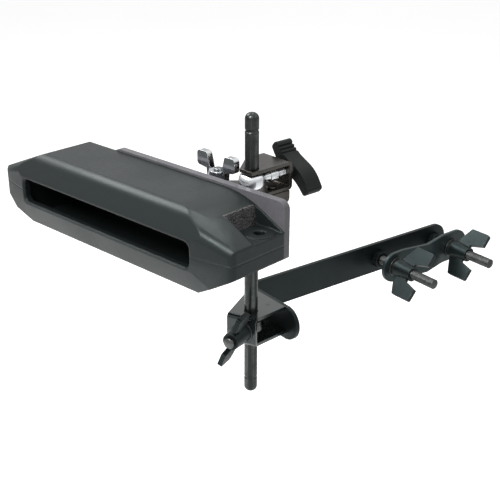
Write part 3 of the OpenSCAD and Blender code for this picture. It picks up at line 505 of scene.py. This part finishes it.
def break_edges(piece, width, steps):
    """Breaks the edges between a node's real faces by a small radius, with modifiers."""
    plain = piece.modifiers.new("Plain faces", "DECIMATE")
    plain.decimate_type, plain.angle_limit = "DISSOLVE", math.radians(0.5)
    bevel = piece.modifiers.new("Broken edges", "BEVEL")
    bevel.width, bevel.segments = width, steps
    bevel.limit_method, bevel.angle_limit = "ANGLE", math.radians(26)
    bevel.use_clamp_overlap = True


def even_out(piece):
    """Shades a piece smoothly and lets its large faces decide the normals, with modifiers."""
    shade = piece.modifiers.new("Smooth faces", "NODES")
    shade.node_group = even_shading()
    weigh = piece.modifiers.new("Weighted normals", "WEIGHTED_NORMAL")
    weigh.keep_sharp, weigh.weight = False, 50


def bridge(mesh, low, high):
    """Joins two rings of vertices by a band of faces."""
    for i in range(len(low)):
        j = (i + 1) % len(low)
        mesh.faces.new((low[i], low[j], high[j], high[i]))


def lathe(mesh, rows, sides, relief=None):
    """Adds a closed turned body to a bmesh.

    Rows are (height, radius), and relief(angle, height) lowers the surface.
    """
    circles = []
    for height, radius in rows:
        circle = []
        for i in range(sides):
            a = 2 * math.pi * i / sides
            r = radius - (relief(a, height) if relief else 0.0)
            circle.append(mesh.verts.new((r * math.cos(a), r * math.sin(a), height)))
        circles.append(circle)
    for low, high in zip(circles, circles[1:]):
        bridge(mesh, low, high)
    mesh.faces.new(list(reversed(circles[0])))
    mesh.faces.new(circles[-1])


def turn_ring(mesh, rows, sides):
    """Adds a closed ring turned about Z. Rows are (height, radius) around its section."""
    angles = [2 * math.pi * i / sides for i in range(sides)]
    circles = [[mesh.verts.new((r * math.cos(a), r * math.sin(a), z)) for a in angles] for z, r in rows]
    for low, high in zip(circles, circles[1:] + circles[:1]):
        bridge(mesh, low, high)


def aimed(origin, direction):
    """Matrix that puts a body turned about Z on an axis through a point."""
    turn = Vector((0, 0, 1)).rotation_difference(direction).to_matrix().to_4x4()
    return Matrix.Translation(origin) @ turn


def finish_piece(name, mesh, material, body, node):
    """Turns a bmesh into a piece that rides on a body and stands for a CAD node."""
    data = bpy.data.meshes.new(name)
    bmesh.ops.recalc_face_normals(mesh, faces=mesh.faces)
    mesh.to_mesh(data)
    mesh.free()
    for face in data.polygons:
        face.use_smooth = True
    piece = bpy.data.objects.new(name, data)
    bpy.context.scene.collection.objects.link(piece)
    data.materials.append(material)
    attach(piece, body)
    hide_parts(node)
    even_out(piece)


def steps_between(low, high, pitch):
    """Even steps from low to high, about a pitch apart."""
    count = max(2, round((high - low) / pitch))
    return [low + (high - low) * i / count for i in range(count + 1)]


def threaded_shank(mesh, radius, low, high, pitch, depth, sides=40):
    """A rolled thread that fades into a plain neck below and a domed tip above."""
    rows_per_turn, neck_turns, tip_radius = 8, 2, 0.0003
    rows = [(z, radius) for z in steps_between(low, high - radius, pitch / rows_per_turn)]
    dome = 2 * radius
    for z in steps_between(high - radius, high, 2 * pitch / rows_per_turn)[1:]:
        rise = z - (high - dome)
        rows.append((z, max(tip_radius, min(radius, math.sqrt(max(0.0, dome * dome - rise * rise))))))

    def relief(angle, height):
        turn = (height / pitch - angle / (2 * math.pi)) % 1.0
        fade_in = max(0.0, (height - low) / (neck_turns * pitch))
        fade_out = max(0.0, (high - pitch - height) / pitch)
        return depth * abs(2 * turn - 1) * min(1.0, fade_in, fade_out)

    lathe(mesh, rows, sides, relief)


def forged_eye(mesh, bore, outer, height):
    """A forged eye: a ring whose outside swells and whose bore is broken at both rims."""
    swell, rim, wall, steps, sides = 2.6, 0.0004, 0.0015, 16, 72
    half, core = height / 2, (bore + outer) / 2 - wall
    rows = []
    for i in range(steps + 1):
        turn = math.pi * i / steps - math.pi / 2
        rise = half * math.copysign(abs(math.sin(turn)) ** (2 / swell), turn)
        rows.append((rise, core + (outer - core) * max(0.0, math.cos(turn)) ** (2 / swell)))
    rows += [(half, bore + rim), (half - rim, bore), (rim - half, bore), (-half, bore + rim)]
    turn_ring(mesh, rows, sides)


def add_body(mesh, part, turn):
    """Moves a body into place and adds it to another."""
    part.transform(turn)
    held = bpy.data.meshes.new("held")
    part.to_mesh(held)
    part.free()
    mesh.from_mesh(held)
    bpy.data.meshes.remove(held)


def hex_head(mesh, across, low, high):
    """A hexagon head, chamfered more at its outer end than at its seat."""
    chamfer, outer_share, seat_share = 0.0004, 1.6, 0.6
    radius = across / 2 / math.cos(math.pi / 6)
    rows = [(low, radius - chamfer * outer_share), (low + chamfer, radius), (high - chamfer, radius),
            (high, radius - chamfer * seat_share)]
    lathe(mesh, rows, 6)


def knurl(angle, height, teeth, pitch, depth):
    """Depth of a diamond knurl at a place on a rod."""
    around = angle * teeth / (2 * math.pi)
    first = abs(2 * ((around + height / pitch) % 1.0) - 1)
    second = abs(2 * ((around - height / pitch) % 1.0) - 1)
    return depth * max(first, second)


def dress(names, material):
    """Gives carried-over nodes a material and soft edges."""
    for name in names:
        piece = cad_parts[name]
        for held in piece.material_slots:
            held.material = material
        join_faces(piece)
        if name in SOFT_EDGES:
            break_edges(piece, *SOFT_EDGES[name])
        even_out(piece)


# What a user would change

def colour_setting(name, description, default):
    return bpy.props.FloatVectorProperty(
        name=name, description=description, subtype="COLOR", size=4, default=default + (1.0,), min=0, max=1)


def share_setting(name, description, default, low=0.0, high=1.0):
    return bpy.props.FloatProperty(
        name=name, description=description, default=default, min=low, max=high, subtype="FACTOR")


def length_setting(name, description, default, low, high):
    return bpy.props.FloatProperty(
        name=name, description=description, default=default, min=low, max=high, unit="LENGTH", precision=5)


def power_setting(name, description, default):
    return bpy.props.FloatProperty(
        name=name, description=description, default=default, min=0, max=200, unit="POWER")


def angle_setting(name, description, degrees):
    return bpy.props.FloatProperty(
        name=name, description=description, default=math.radians(degrees), subtype="ANGLE", unit="ROTATION")


class PlasticLook(bpy.types.PropertyGroup):
    shell_colour: colour_setting("Shell colour", "Colour of the moulded block", (0.0115, 0.0145, 0.0148))
    shell_roughness: share_setting("Shell roughness", "Roughness of the moulded block", 0.36, low=0.05)
    # The rail's own dark colour, lifted well above the shell's by a painted sheen.
    rail_colour_with_sheen: colour_setting("Rail colour with painted sheen", "Colour of the rail on the block's back, lifted by a painted sheen", (0.125, 0.121, 0.132))
    handle_colour: colour_setting("Handle colour", "Colour of the T-handle", (0.006, 0.0064, 0.0062))
    grain: bpy.props.FloatProperty(
        name="Grain", description="Pits of the mould grain per metre", default=1500.0, min=200, max=8000)
    grain_depth: length_setting("Grain depth", "Depth of the mould grain", 0.00003, 0, 0.001)
    # Also sets, doubled, the painted edge highlights on the T-handle.
    wear: share_setting("Wear", "How far the plastic's edges are rubbed", 0.3)


class SteelLook(bpy.types.PropertyGroup):
    arm_colour: colour_setting("Arm colour", "Colour of the arm and the lower channel", (0.006, 0.0078, 0.0078))
    clamp_colour: colour_setting("Upper clamp colour", "Colour of the upper clamp's dark plate",
                                 (0.105, 0.098, 0.091))
    nut_colour: colour_setting("Nut colour", "Colour of the cast black wing nuts", (0.0105, 0.0145, 0.0148))
    chrome_colour: colour_setting("Chrome colour", "Colour of the chrome parts", (0.72, 0.74, 0.76))
    zinc_colour: colour_setting("Zinc colour", "Colour of bolts and washers", (0.135, 0.142, 0.14))
    rod_colour: colour_setting("Rod colour", "Colour of the mounting rod", (0.1, 0.11, 0.106))
    brass_colour: colour_setting("Brass colour", "Colour of the threaded inserts", (0.5, 0.33, 0.12))
    # Also sets the painted edge highlights on the jaw and the wing nuts.
    wear: share_setting("Wear", "How far the steel's edges are rubbed bare", 0.22)
    thread_pitch: length_setting("Thread pitch", "Pitch of the clamp bolts' thread", 0.00125, 0.0005, 0.003)
    thread_depth: length_setting("Thread depth", "Depth of the clamp bolts' thread", 0.00035, 0, 0.001)
    knurl_depth: length_setting("Knurl depth", "Depth of the rod's knurl", 0.00016, 0, 0.0005)
    knurl_teeth: bpy.props.IntProperty(
        name="Knurl teeth", description="Teeth of the knurl around the rod", default=26, min=8, max=60)


class StudioLook(bpy.types.PropertyGroup):
    floor_drop: length_setting("Floor drop", "Distance of the floor below the frame's origin", 0.3, 0.08, 2)
    floor_colour: colour_setting("Floor colour", "Colour of the floor", (0.86, 0.86, 0.86))
    floor_lift: share_setting("Floor lift", "Light that the floor adds where the camera sees it", 0.5)
    floor_gloss: share_setting("Floor gloss", "Light that the floor adds where gloss shows it", 0.1)
    sky_level: share_setting("Sky level", "Light of the surround on matt surfaces", 0.5, high=2.0)
    horizon_level: share_setting("Horizon level", "Level of the surround low down, as gloss shows it", 0.6)
    key_power: power_setting("Key power", "Power of the soft lamp up on the left", 11.0)
    key_size: length_setting("Key size", "Side of the soft lamp up on the left", 0.8, 0.1, 4)
    fill_power: power_setting("Fill power", "Power of the soft lamp in front", 12.0)
    fill_size: length_setting("Fill size", "Side of the soft lamp in front", 0.45, 0.1, 4)
    top_power: power_setting("Top power", "Power of the soft lamp overhead", 4.0)
    top_size: length_setting("Top size", "Side of the soft lamp overhead", 0.5, 0.1, 4)
    lens: bpy.props.FloatProperty(
        name="Lens", description="Focal length on a 36 mm wide sensor, in millimetres", default=69.17,
        min=20, max=200)
    distance: length_setting("Camera distance", "Distance of the camera from what it looks at", 0.65935, 0.2, 5)
    azimuth: angle_setting("Azimuth", "Turn of the camera about the object", 43.06)
    elevation: angle_setting("Elevation", "Height angle of the camera", 23.56)
    roll: angle_setting("Roll", "Tilt of the camera about its view", 0.27)


# One operator for each piece or group of like pieces

class DressShells(bpy.types.Operator):
    """Gives both halves of the block their moulded plastic and soft edges"""

    bl_idname = "woodblock.dress_shells"
    bl_label = "Block shells"

    def execute(self, context):
        look = context.scene.woodblock_plastic
        plastic = moulded_plastic("Block plastic", tuple(look.shell_colour), look.shell_roughness, look.grain,
                                  look.grain_depth, look.wear, rounding=0.002, coarse=POCKET_WALLS)
        dress(["upper_shell", "lower_shell"], plastic)
        return {"FINISHED"}


class DressRail(bpy.types.Operator):
    """Gives the rail on the block's back its plastic, its colour lifted by a painted sheen"""

    bl_idname = "woodblock.dress_rail"
    bl_label = "Back rail"

    def execute(self, context):
        look = context.scene.woodblock_plastic
        # The rail's colour carries a painted sheen.
        plastic = moulded_plastic("Rail plastic", tuple(look.rail_colour_with_sheen), look.shell_roughness, look.grain,
                                  look.grain_depth, look.wear, rounding=0.0008)
        dress(["back_rail"], plastic)
        return {"FINISHED"}


class DressHandle(bpy.types.Operator):
    """Gives the T-handle its matt grained plastic"""

    bl_idname = "woodblock.dress_handle"
    bl_label = "T-handle"

    def execute(self, context):
        look = context.scene.woodblock_plastic
        # Doubled wear makes the handle's pale edges a painted edge highlight.
        plastic = moulded_plastic("Handle plastic", tuple(look.handle_colour), roughness=0.52,
                                  grain=look.grain * 1.3, depth=look.grain_depth * 1.5, wear=2 * look.wear,
                                  rounding=0.0006, ior=1.32)
        dress(["t_handle"], plastic)
        return {"FINISHED"}


class DressUpperClamp(bpy.types.Operator):
    """Gives the upper channel, the swivel plate and their rivets dark plate"""

    bl_idname = "woodblock.dress_upper_clamp"
    bl_label = "Upper clamp"

    def execute(self, context):
        look = context.scene.woodblock_steel
        steel = satin_steel("Dark plate", tuple(look.clamp_colour), roughness=0.3, wear=look.wear, metallic=1.0)
        dress(["upper_channel", "swivel_plate", "swivel_rivets"], steel)
        return {"FINISHED"}


class DressLowerClamp(bpy.types.Operator):
    """Gives the arm, the lower channel and the jaw their satin black"""

    bl_idname = "woodblock.dress_lower_clamp"
    bl_label = "Arm, lower channel and jaw"

    def execute(self, context):
        look = context.scene.woodblock_steel
        satin = satin_steel("Satin black", tuple(look.arm_colour), roughness=0.36, wear=look.wear, ior=1.33)
        dress(["offset_arm"], satin)
        # Doubled wear paints bright edges on the jaw as a highlight.
        jaw = satin_steel("Jaw black", deeper(look.nut_colour, 1.9), roughness=0.34, wear=2 * look.wear)
        dress(["clamp_jaw"], jaw)
        mark = Vector((ROD_AXIS.x, ROD_AXIS.y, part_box("lower_channel")[1].z)) + MARK_OFFSET
        gloss = satin_steel("Gloss black", deeper(look.arm_colour, 2.4), roughness=0.24, wear=look.wear,
                            coat=0.8, marks=[(mark, 0.0015)])
        dress(["lower_channel"], gloss)
        return {"FINISHED"}


class DressNuts(bpy.types.Operator):
    """Gives the cast wing nuts and lock nuts their black"""

    bl_idname = "woodblock.dress_nuts"
    bl_label = "Black nuts"

    def execute(self, context):
        look = context.scene.woodblock_steel
        # Wear two and a half times over paints thin edge highlights on the nuts.
        cast = satin_steel("Cast black", deeper(look.nut_colour, 0.7), roughness=0.32, wear=2.5 * look.wear,
                           ior=1.3)
        dress(["inner_wing_nut", "outer_wing_nut", "lower_wing_nut", "clamp_lock_nuts"], cast)
        return {"FINISHED"}


class DressChrome(bpy.types.Operator):
    """Gives the pivot wing nut and its washer chrome"""

    bl_idname = "woodblock.dress_chrome"
    bl_label = "Chrome parts"

    def execute(self, context):
        look = context.scene.woodblock_steel
        chrome = plated_steel("Chrome", tuple(look.chrome_colour), roughness=0.06, cloud=0.1)
        dress(["pivot_wing_nut", "pivot_washer"], chrome)
        return {"FINISHED"}


class ForgeEyeBolts(bpy.types.Operator):
    """Forges the two eye bolts that hold the rod, with their necks, collar and threads"""

    bl_idname = "woodblock.forge_eye_bolts"
    bl_label = "Eye bolts"

    def execute(self, context):
        look = context.scene.woodblock_steel
        bright = plated_steel("Bright zinc", deeper(look.chrome_colour, 1.25), roughness=0.18, cloud=0.12)
        dull = plated_steel("Lower bolt zinc", tuple(look.zinc_colour), roughness=0.26, cloud=0.3)
        self.forge("forged_upper_eye", "upper_eye_bolt", "upper_clamp", bright, height=0.1101, way=UPPER_BOLT,
                   radius=SMALL_BOLT, reach=0.042, collar=(0.0144, 0.0208))
        self.forge("forged_lower_eye", "lower_eye_bolt", "arm", dull, height=0.0021, way=LOWER_BOLT,
                   radius=LARGE_BOLT, reach=0.0335)
        return {"FINISHED"}

    def forge(self, name, node, body, steel, height, way, radius, reach, collar=()):
        """Makes one eye bolt; the collar is given by the distances where it starts and where it rounds off."""
        bore, outer, tall, step, sides = 0.00484, 0.0088, 0.01, 0.0002, 40
        neck_start, neck_foot, flare_at, neck_end = 0.0055, 0.0078, 0.0088, 0.0102
        neck_radius, foot_radius, collar_radius, flare, undercut = 0.0043, 0.0042, 0.0045, 0.0005, 0.00005
        turn = aimed(Vector((ROD_AXIS.x, ROD_AXIS.y, height)), way)
        mesh = bmesh.new()
        forged_eye(mesh, bore, outer, tall)
        bmesh.ops.translate(mesh, verts=mesh.verts, vec=turn.to_translation())
        rows = [(neck_start, neck_radius), (neck_foot, foot_radius), (flare_at, radius + flare),
                (neck_end, radius), (neck_end + step, radius - undercut)]
        start = neck_end + 2 * step
        if collar:
            low, high = collar
            rows += [(low, radius), (low + step / 2, neck_radius), (low + 1.5 * step, collar_radius),
                     (high, collar_radius), (high + step, neck_radius)]
            start = high + 1.5 * step
        neck = bmesh.new()
        lathe(neck, rows + [(start, radius)], sides)
        add_body(mesh, neck, turn)
        thread = bmesh.new()
        threaded_shank(thread, radius, start - step / 2, reach, pitch=0.00127, depth=0.00032)
        add_body(mesh, thread, turn)
        finish_piece(name, mesh, steel, body, node)


class DressSmallSteel(bpy.types.Operator):
    """Gives washers and screws their plate, and the inserts their brass"""

    bl_idname = "woodblock.dress_small_steel"
    bl_label = "Washers, screws and inserts"

    def execute(self, context):
        look = context.scene.woodblock_steel
        zinc = plated_steel("Grey zinc", tuple(look.zinc_colour), roughness=0.28, cloud=0.3)
        dress(["clamp_washers", "clamp_spring_washers", "lower_washer", "upper_washer"], zinc)
        black = plated_steel("Blackened screw", deeper(look.zinc_colour, 0.25), roughness=0.35, cloud=0.3)
        dress(["shell_screws", "rail_screws"], black)
        brass = plated_steel("Brass", tuple(look.brass_colour), roughness=0.3, cloud=0.3)
        dress(["shell_inserts", "t_handle_insert"], brass)
        return {"FINISHED"}


class TurnRod(bpy.types.Operator):
    """Turns the mounting rod with its knurled stretches, its grooves and its round tips"""

    bl_idname = "woodblock.turn_rod"
    bl_label = "Mounting rod"

    def execute(self, context):
        look = context.scene.woodblock_steel
        low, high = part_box("mounting_rod")
        radius = (high.x - low.x) / 2
        tip, tip_steps, land, groove, depth, edge = 0.0042, 8, 0.011, 0.002, 0.00035, 0.0001
        fade_in, teeth_pitch, fine, plain, sides = 0.0006, 0.0012, 0.0002, 0.004, 156
        lower_knurl, upper_knurl = (0.0135, 0.0375), (0.043, 0.0144)
        flat = radius - tip
        stretches = [tuple(low.z + away for away in lower_knurl), tuple(high.z - away for away in upper_knurl)]

        def relief(angle, height):
            for start, end in stretches:
                if start < height < end:
                    fade = min(1.0, (height - start) / fade_in, (end - height) / fade_in)
                    return fade * knurl(angle, height, look.knurl_teeth, teeth_pitch, look.knurl_depth)
            return 0.0

        def tip_rows(at, way):
            rows = [(at, flat / 2)]
            for i in range(tip_steps + 1):
                a = math.pi / 2 * i / tip_steps
                rows.append((at + way * tip * (1 - math.cos(a)), flat + tip * math.sin(a)))
            return rows

        def groove_rows(start):
            return [(start, radius), (start + edge, radius - depth), (start + groove - edge, radius - depth),
                    (start + groove, radius)]

        rows = tip_rows(low.z, 1) + groove_rows(low.z + land)
        cuts = [low.z + land + groove] + [z for pair in stretches for z in pair] + [high.z - land - groove]
        for start, end in zip(cuts, cuts[1:]):
            step = fine if (start, end) in stretches else plain
            rows += [(z, radius) for z in steps_between(start, end, step)[1:-1]]
            if end != cuts[-1]:
                rows.append((end, radius))
        rows += groove_rows(high.z - land - groove) + list(reversed(tip_rows(high.z, -1)))
        mesh = bmesh.new()
        lathe(mesh, rows, sides, relief)
        middle = (low + high) / 2
        mesh.transform(Matrix.Translation((middle.x, middle.y, 0.0)))
        # The rod's dark bands along its length are painted reflections.
        steel = plated_steel("Rod steel", tuple(look.rod_colour), roughness=0.22, cloud=0.45, ripple=0.00002,
                             rounding=0.0002, painted_bands=1.0)
        finish_piece("turned_rod", mesh, steel, "rod", "mounting_rod")
        return {"FINISHED"}


class RollThreads(bpy.types.Operator):
    """Makes the clamp bolts and the pivot bolt with their real threads and hexagon heads"""

    bl_idname = "woodblock.roll_threads"
    bl_label = "Threaded bolts"

    def execute(self, context):
        look = context.scene.woodblock_steel
        self.roll_clamp_bolts(look)
        self.roll_pivot_bolt(look)
        return {"FINISHED"}

    def roll_clamp_bolts(self, look):
        head_across, head_low, head_high, tip = 0.0127, -0.0082, -0.0032, 0.064
        mesh = bmesh.new()
        for origin in CLAMP_BOLTS:
            bolt = bmesh.new()
            hex_head(bolt, head_across, head_low, head_high)
            threaded_shank(bolt, LARGE_BOLT, head_high, tip, look.thread_pitch, look.thread_depth)
            add_body(mesh, bolt, aimed(origin, CLAMP_OUT))
        zinc = plated_steel("Bolt zinc", deeper(look.zinc_colour, 0.72), roughness=0.42, cloud=0.35)
        finish_piece("threaded_clamp_bolts", mesh, zinc, "arm", "clamp_bolts")

    def roll_pivot_bolt(self, look):
        low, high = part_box("pivot_bolt")
        head_across, head_top = 0.014 * math.cos(math.pi / 6), low.z + 0.0036
        mesh = bmesh.new()
        hex_head(mesh, head_across, low.z, head_top)
        threaded_shank(mesh, SMALL_BOLT, head_top, high.z, pitch=0.0011, depth=0.0003)
        mesh.transform(Matrix.Translation(PIVOT))
        bright = plated_steel("Pivot bolt zinc", deeper(look.zinc_colour, 1.6), roughness=0.2, cloud=0.3)
        finish_piece("threaded_pivot_bolt", mesh, bright, "block", "pivot_bolt")


class BuildStudio(bpy.types.Operator):
    """Lays the pale floor and sets the surround, the three soft lamps and the camera"""

    bl_idname = "woodblock.build_studio"
    bl_label = "Studio"

    def execute(self, context):
        look = context.scene.woodblock_studio
        self.lay_floor(look)
        self.set_surround(context, look)
        for part, way in LAMPS.items():
            power, size = getattr(look, part + "_power"), getattr(look, part + "_size")
            self.hang_lamp(part.title() + " lamp", way, power, size)
        self.set_camera(context, look)
        context.scene.view_settings.view_transform = "Standard"
        return {"FINISHED"}

    def seen(self, tree):
        """1 for rays of the camera, of gloss and through glass."""
        path = tree.nodes.new("ShaderNodeLightPath").outputs
        return maths(tree, "MAXIMUM", path["Is Camera Ray"],
                     maths(tree, "MAXIMUM", path["Is Glossy Ray"], path["Is Transmission Ray"]))

    def lay_floor(self, look):
        """Lays a wide pale floor that keeps the object's shadow."""
        wide, sides, forward, roughness, darker = 6.0, 96, 0.1, 0.9, 0.985
        mesh = bmesh.new()
        bmesh.ops.create_circle(mesh, cap_ends=True, segments=sides, radius=wide)
        bmesh.ops.translate(mesh, verts=mesh.verts, vec=(0.0, -forward, -look.floor_drop))
        data = bpy.data.meshes.new("studio_floor")
        mesh.to_mesh(data)
        mesh.free()
        floor = bpy.data.objects.new("studio_floor", data)
        bpy.context.scene.collection.objects.link(floor)
        material, tree, shader = start_material("Floor paper", roughness)
        tone = effect(tree, "Tone drift", Colour=tuple(look.floor_colour),
                      Other_tone=deeper(look.floor_colour, darker), Patches_per_metre=1.5, Cloud=0.3)
        wire(tree, tone["Colour"], shader.inputs["Base Color"])
        shader.inputs["Emission Color"].default_value = (1.0, 1.0, 1.0, 1.0)
        camera = tree.nodes.new("ShaderNodeLightPath").outputs["Is Camera Ray"]
        lift = span(tree, camera, 0.0, 1.0, look.floor_gloss, look.floor_lift)
        wire(tree, maths(tree, "MULTIPLY", self.seen(tree), lift), shader.inputs["Emission Strength"])
        data.materials.append(material)

    def set_surround(self, context, look):
        """A white surround: plain to the camera, dimmer on matt surfaces and, low down, in gloss."""
        world = bpy.data.worlds.new("Studio surround")
        world.use_nodes = True
        tree = world.node_tree
        tree.nodes.clear()
        matt = place(tree, "ShaderNodeBackground", Color=(1.0, 1.0, 1.0, 1.0), Strength=look.sky_level)
        shown = place(tree, "ShaderNodeBackground", Color=(1.0, 1.0, 1.0, 1.0))
        split = tree.nodes.new("ShaderNodeSeparateXYZ")
        wire(tree, tree.nodes.new("ShaderNodeTexCoord").outputs["Generated"], split.inputs[0])
        dim_below, full_above = 0.15, 0.6
        room = span(tree, split.outputs["Z"], dim_below, full_above, look.horizon_level, 1.0, True)
        camera = tree.nodes.new("ShaderNodeLightPath").outputs["Is Camera Ray"]
        wire(tree, maths(tree, "MAXIMUM", room, camera), shown.inputs["Strength"])
        mix, out = tree.nodes.new("ShaderNodeMixShader"), tree.nodes.new("ShaderNodeOutputWorld")
        wire(tree, self.seen(tree), mix.inputs[0])
        wire(tree, matt.outputs[0], mix.inputs[1])
        wire(tree, shown.outputs[0], mix.inputs[2])
        wire(tree, mix.outputs[0], out.inputs[0])
        context.scene.world = world

    def hang_lamp(self, name, direction, power, size):
        """Hangs a soft lamp that looks at the object's middle, a little wider than it is high."""
        reach, height_share = 1.3, 0.8
        low, high = (Vector(corner) for corner in cad_box)
        middle = (low + high) / 2
        data = bpy.data.lights.new(name, "AREA")
        data.energy, data.shape, data.size, data.size_y = power, "RECTANGLE", size, size * height_share
        lamp = bpy.data.objects.new(name, data)
        lamp.location = middle + Vector(direction).normalized() * reach
        lamp.rotation_euler = (middle - lamp.location).to_track_quat("-Z", "Y").to_euler()
        bpy.context.scene.collection.objects.link(lamp)

    def set_camera(self, context, look):
        """Puts the camera where the photograph was taken from."""
        away = Vector((math.sin(look.azimuth) * math.cos(look.elevation),
                       -math.cos(look.azimuth) * math.cos(look.elevation), math.sin(look.elevation)))
        right = Vector((math.cos(look.azimuth), math.sin(look.azimuth), 0.0))
        up = away.cross(right)
        tilted = right * math.cos(look.roll) + up * math.sin(look.roll)
        raised = up * math.cos(look.roll) - right * math.sin(look.roll)
        data = bpy.data.cameras.new("Camera")
        data.lens, data.sensor_width = look.lens, 36.0
        data.clip_start, data.clip_end = 0.01, 50.0
        camera = bpy.data.objects.new("Camera", data)
        turn = Matrix((tilted, raised, away)).transposed().to_4x4()
        camera.matrix_world = Matrix.Translation(CAMERA_AIM + away * look.distance) @ turn
        bpy.context.scene.collection.objects.link(camera)
        context.scene.camera = camera


MAKERS = (DressShells, DressRail, DressHandle, DressUpperClamp, DressLowerClamp, DressNuts, DressChrome,
          DressSmallSteel, TurnRod, ForgeEyeBolts, RollThreads, BuildStudio)
LOOKS = (("woodblock_plastic", PlasticLook, "Plastic"), ("woodblock_steel", SteelLook, "Steel"),
         ("woodblock_studio", StudioLook, "Studio"))


class WoodblockPanel(bpy.types.Panel):
    """Lists the pieces and what can be changed on them"""

    bl_idname = "VIEW3D_PT_woodblock"
    bl_label = "Woodblock"
    bl_space_type = "VIEW_3D"
    bl_region_type = "UI"
    bl_category = "Woodblock"

    def draw(self, context):
        for attribute, kind, label in LOOKS:
            box = self.layout.box()
            box.label(text=label)
            for name in kind.__annotations__:
                box.prop(getattr(context.scene, attribute), name)
        for maker in MAKERS:
            self.layout.operator(maker.bl_idname, text=maker.bl_label)


def register():
    for attribute, kind, _ in LOOKS:
        bpy.utils.register_class(kind)
        setattr(bpy.types.Scene, attribute, bpy.props.PointerProperty(type=kind))
    for kind in MAKERS + (WoodblockPanel,):
        bpy.utils.register_class(kind)


def unregister():
    for kind in reversed(MAKERS + (WoodblockPanel,)):
        bpy.utils.unregister_class(kind)
    for attribute, kind, _ in reversed(LOOKS):
        delattr(bpy.types.Scene, attribute)
        bpy.utils.unregister_class(kind)


def main():
    register()
    for maker in MAKERS:
        family, name = maker.bl_idname.split(".")
        if getattr(getattr(bpy.ops, family), name)() != {"FINISHED"}:
            raise RuntimeError(maker.bl_label + " was not finished")


if __name__ == "__main__":
    main()
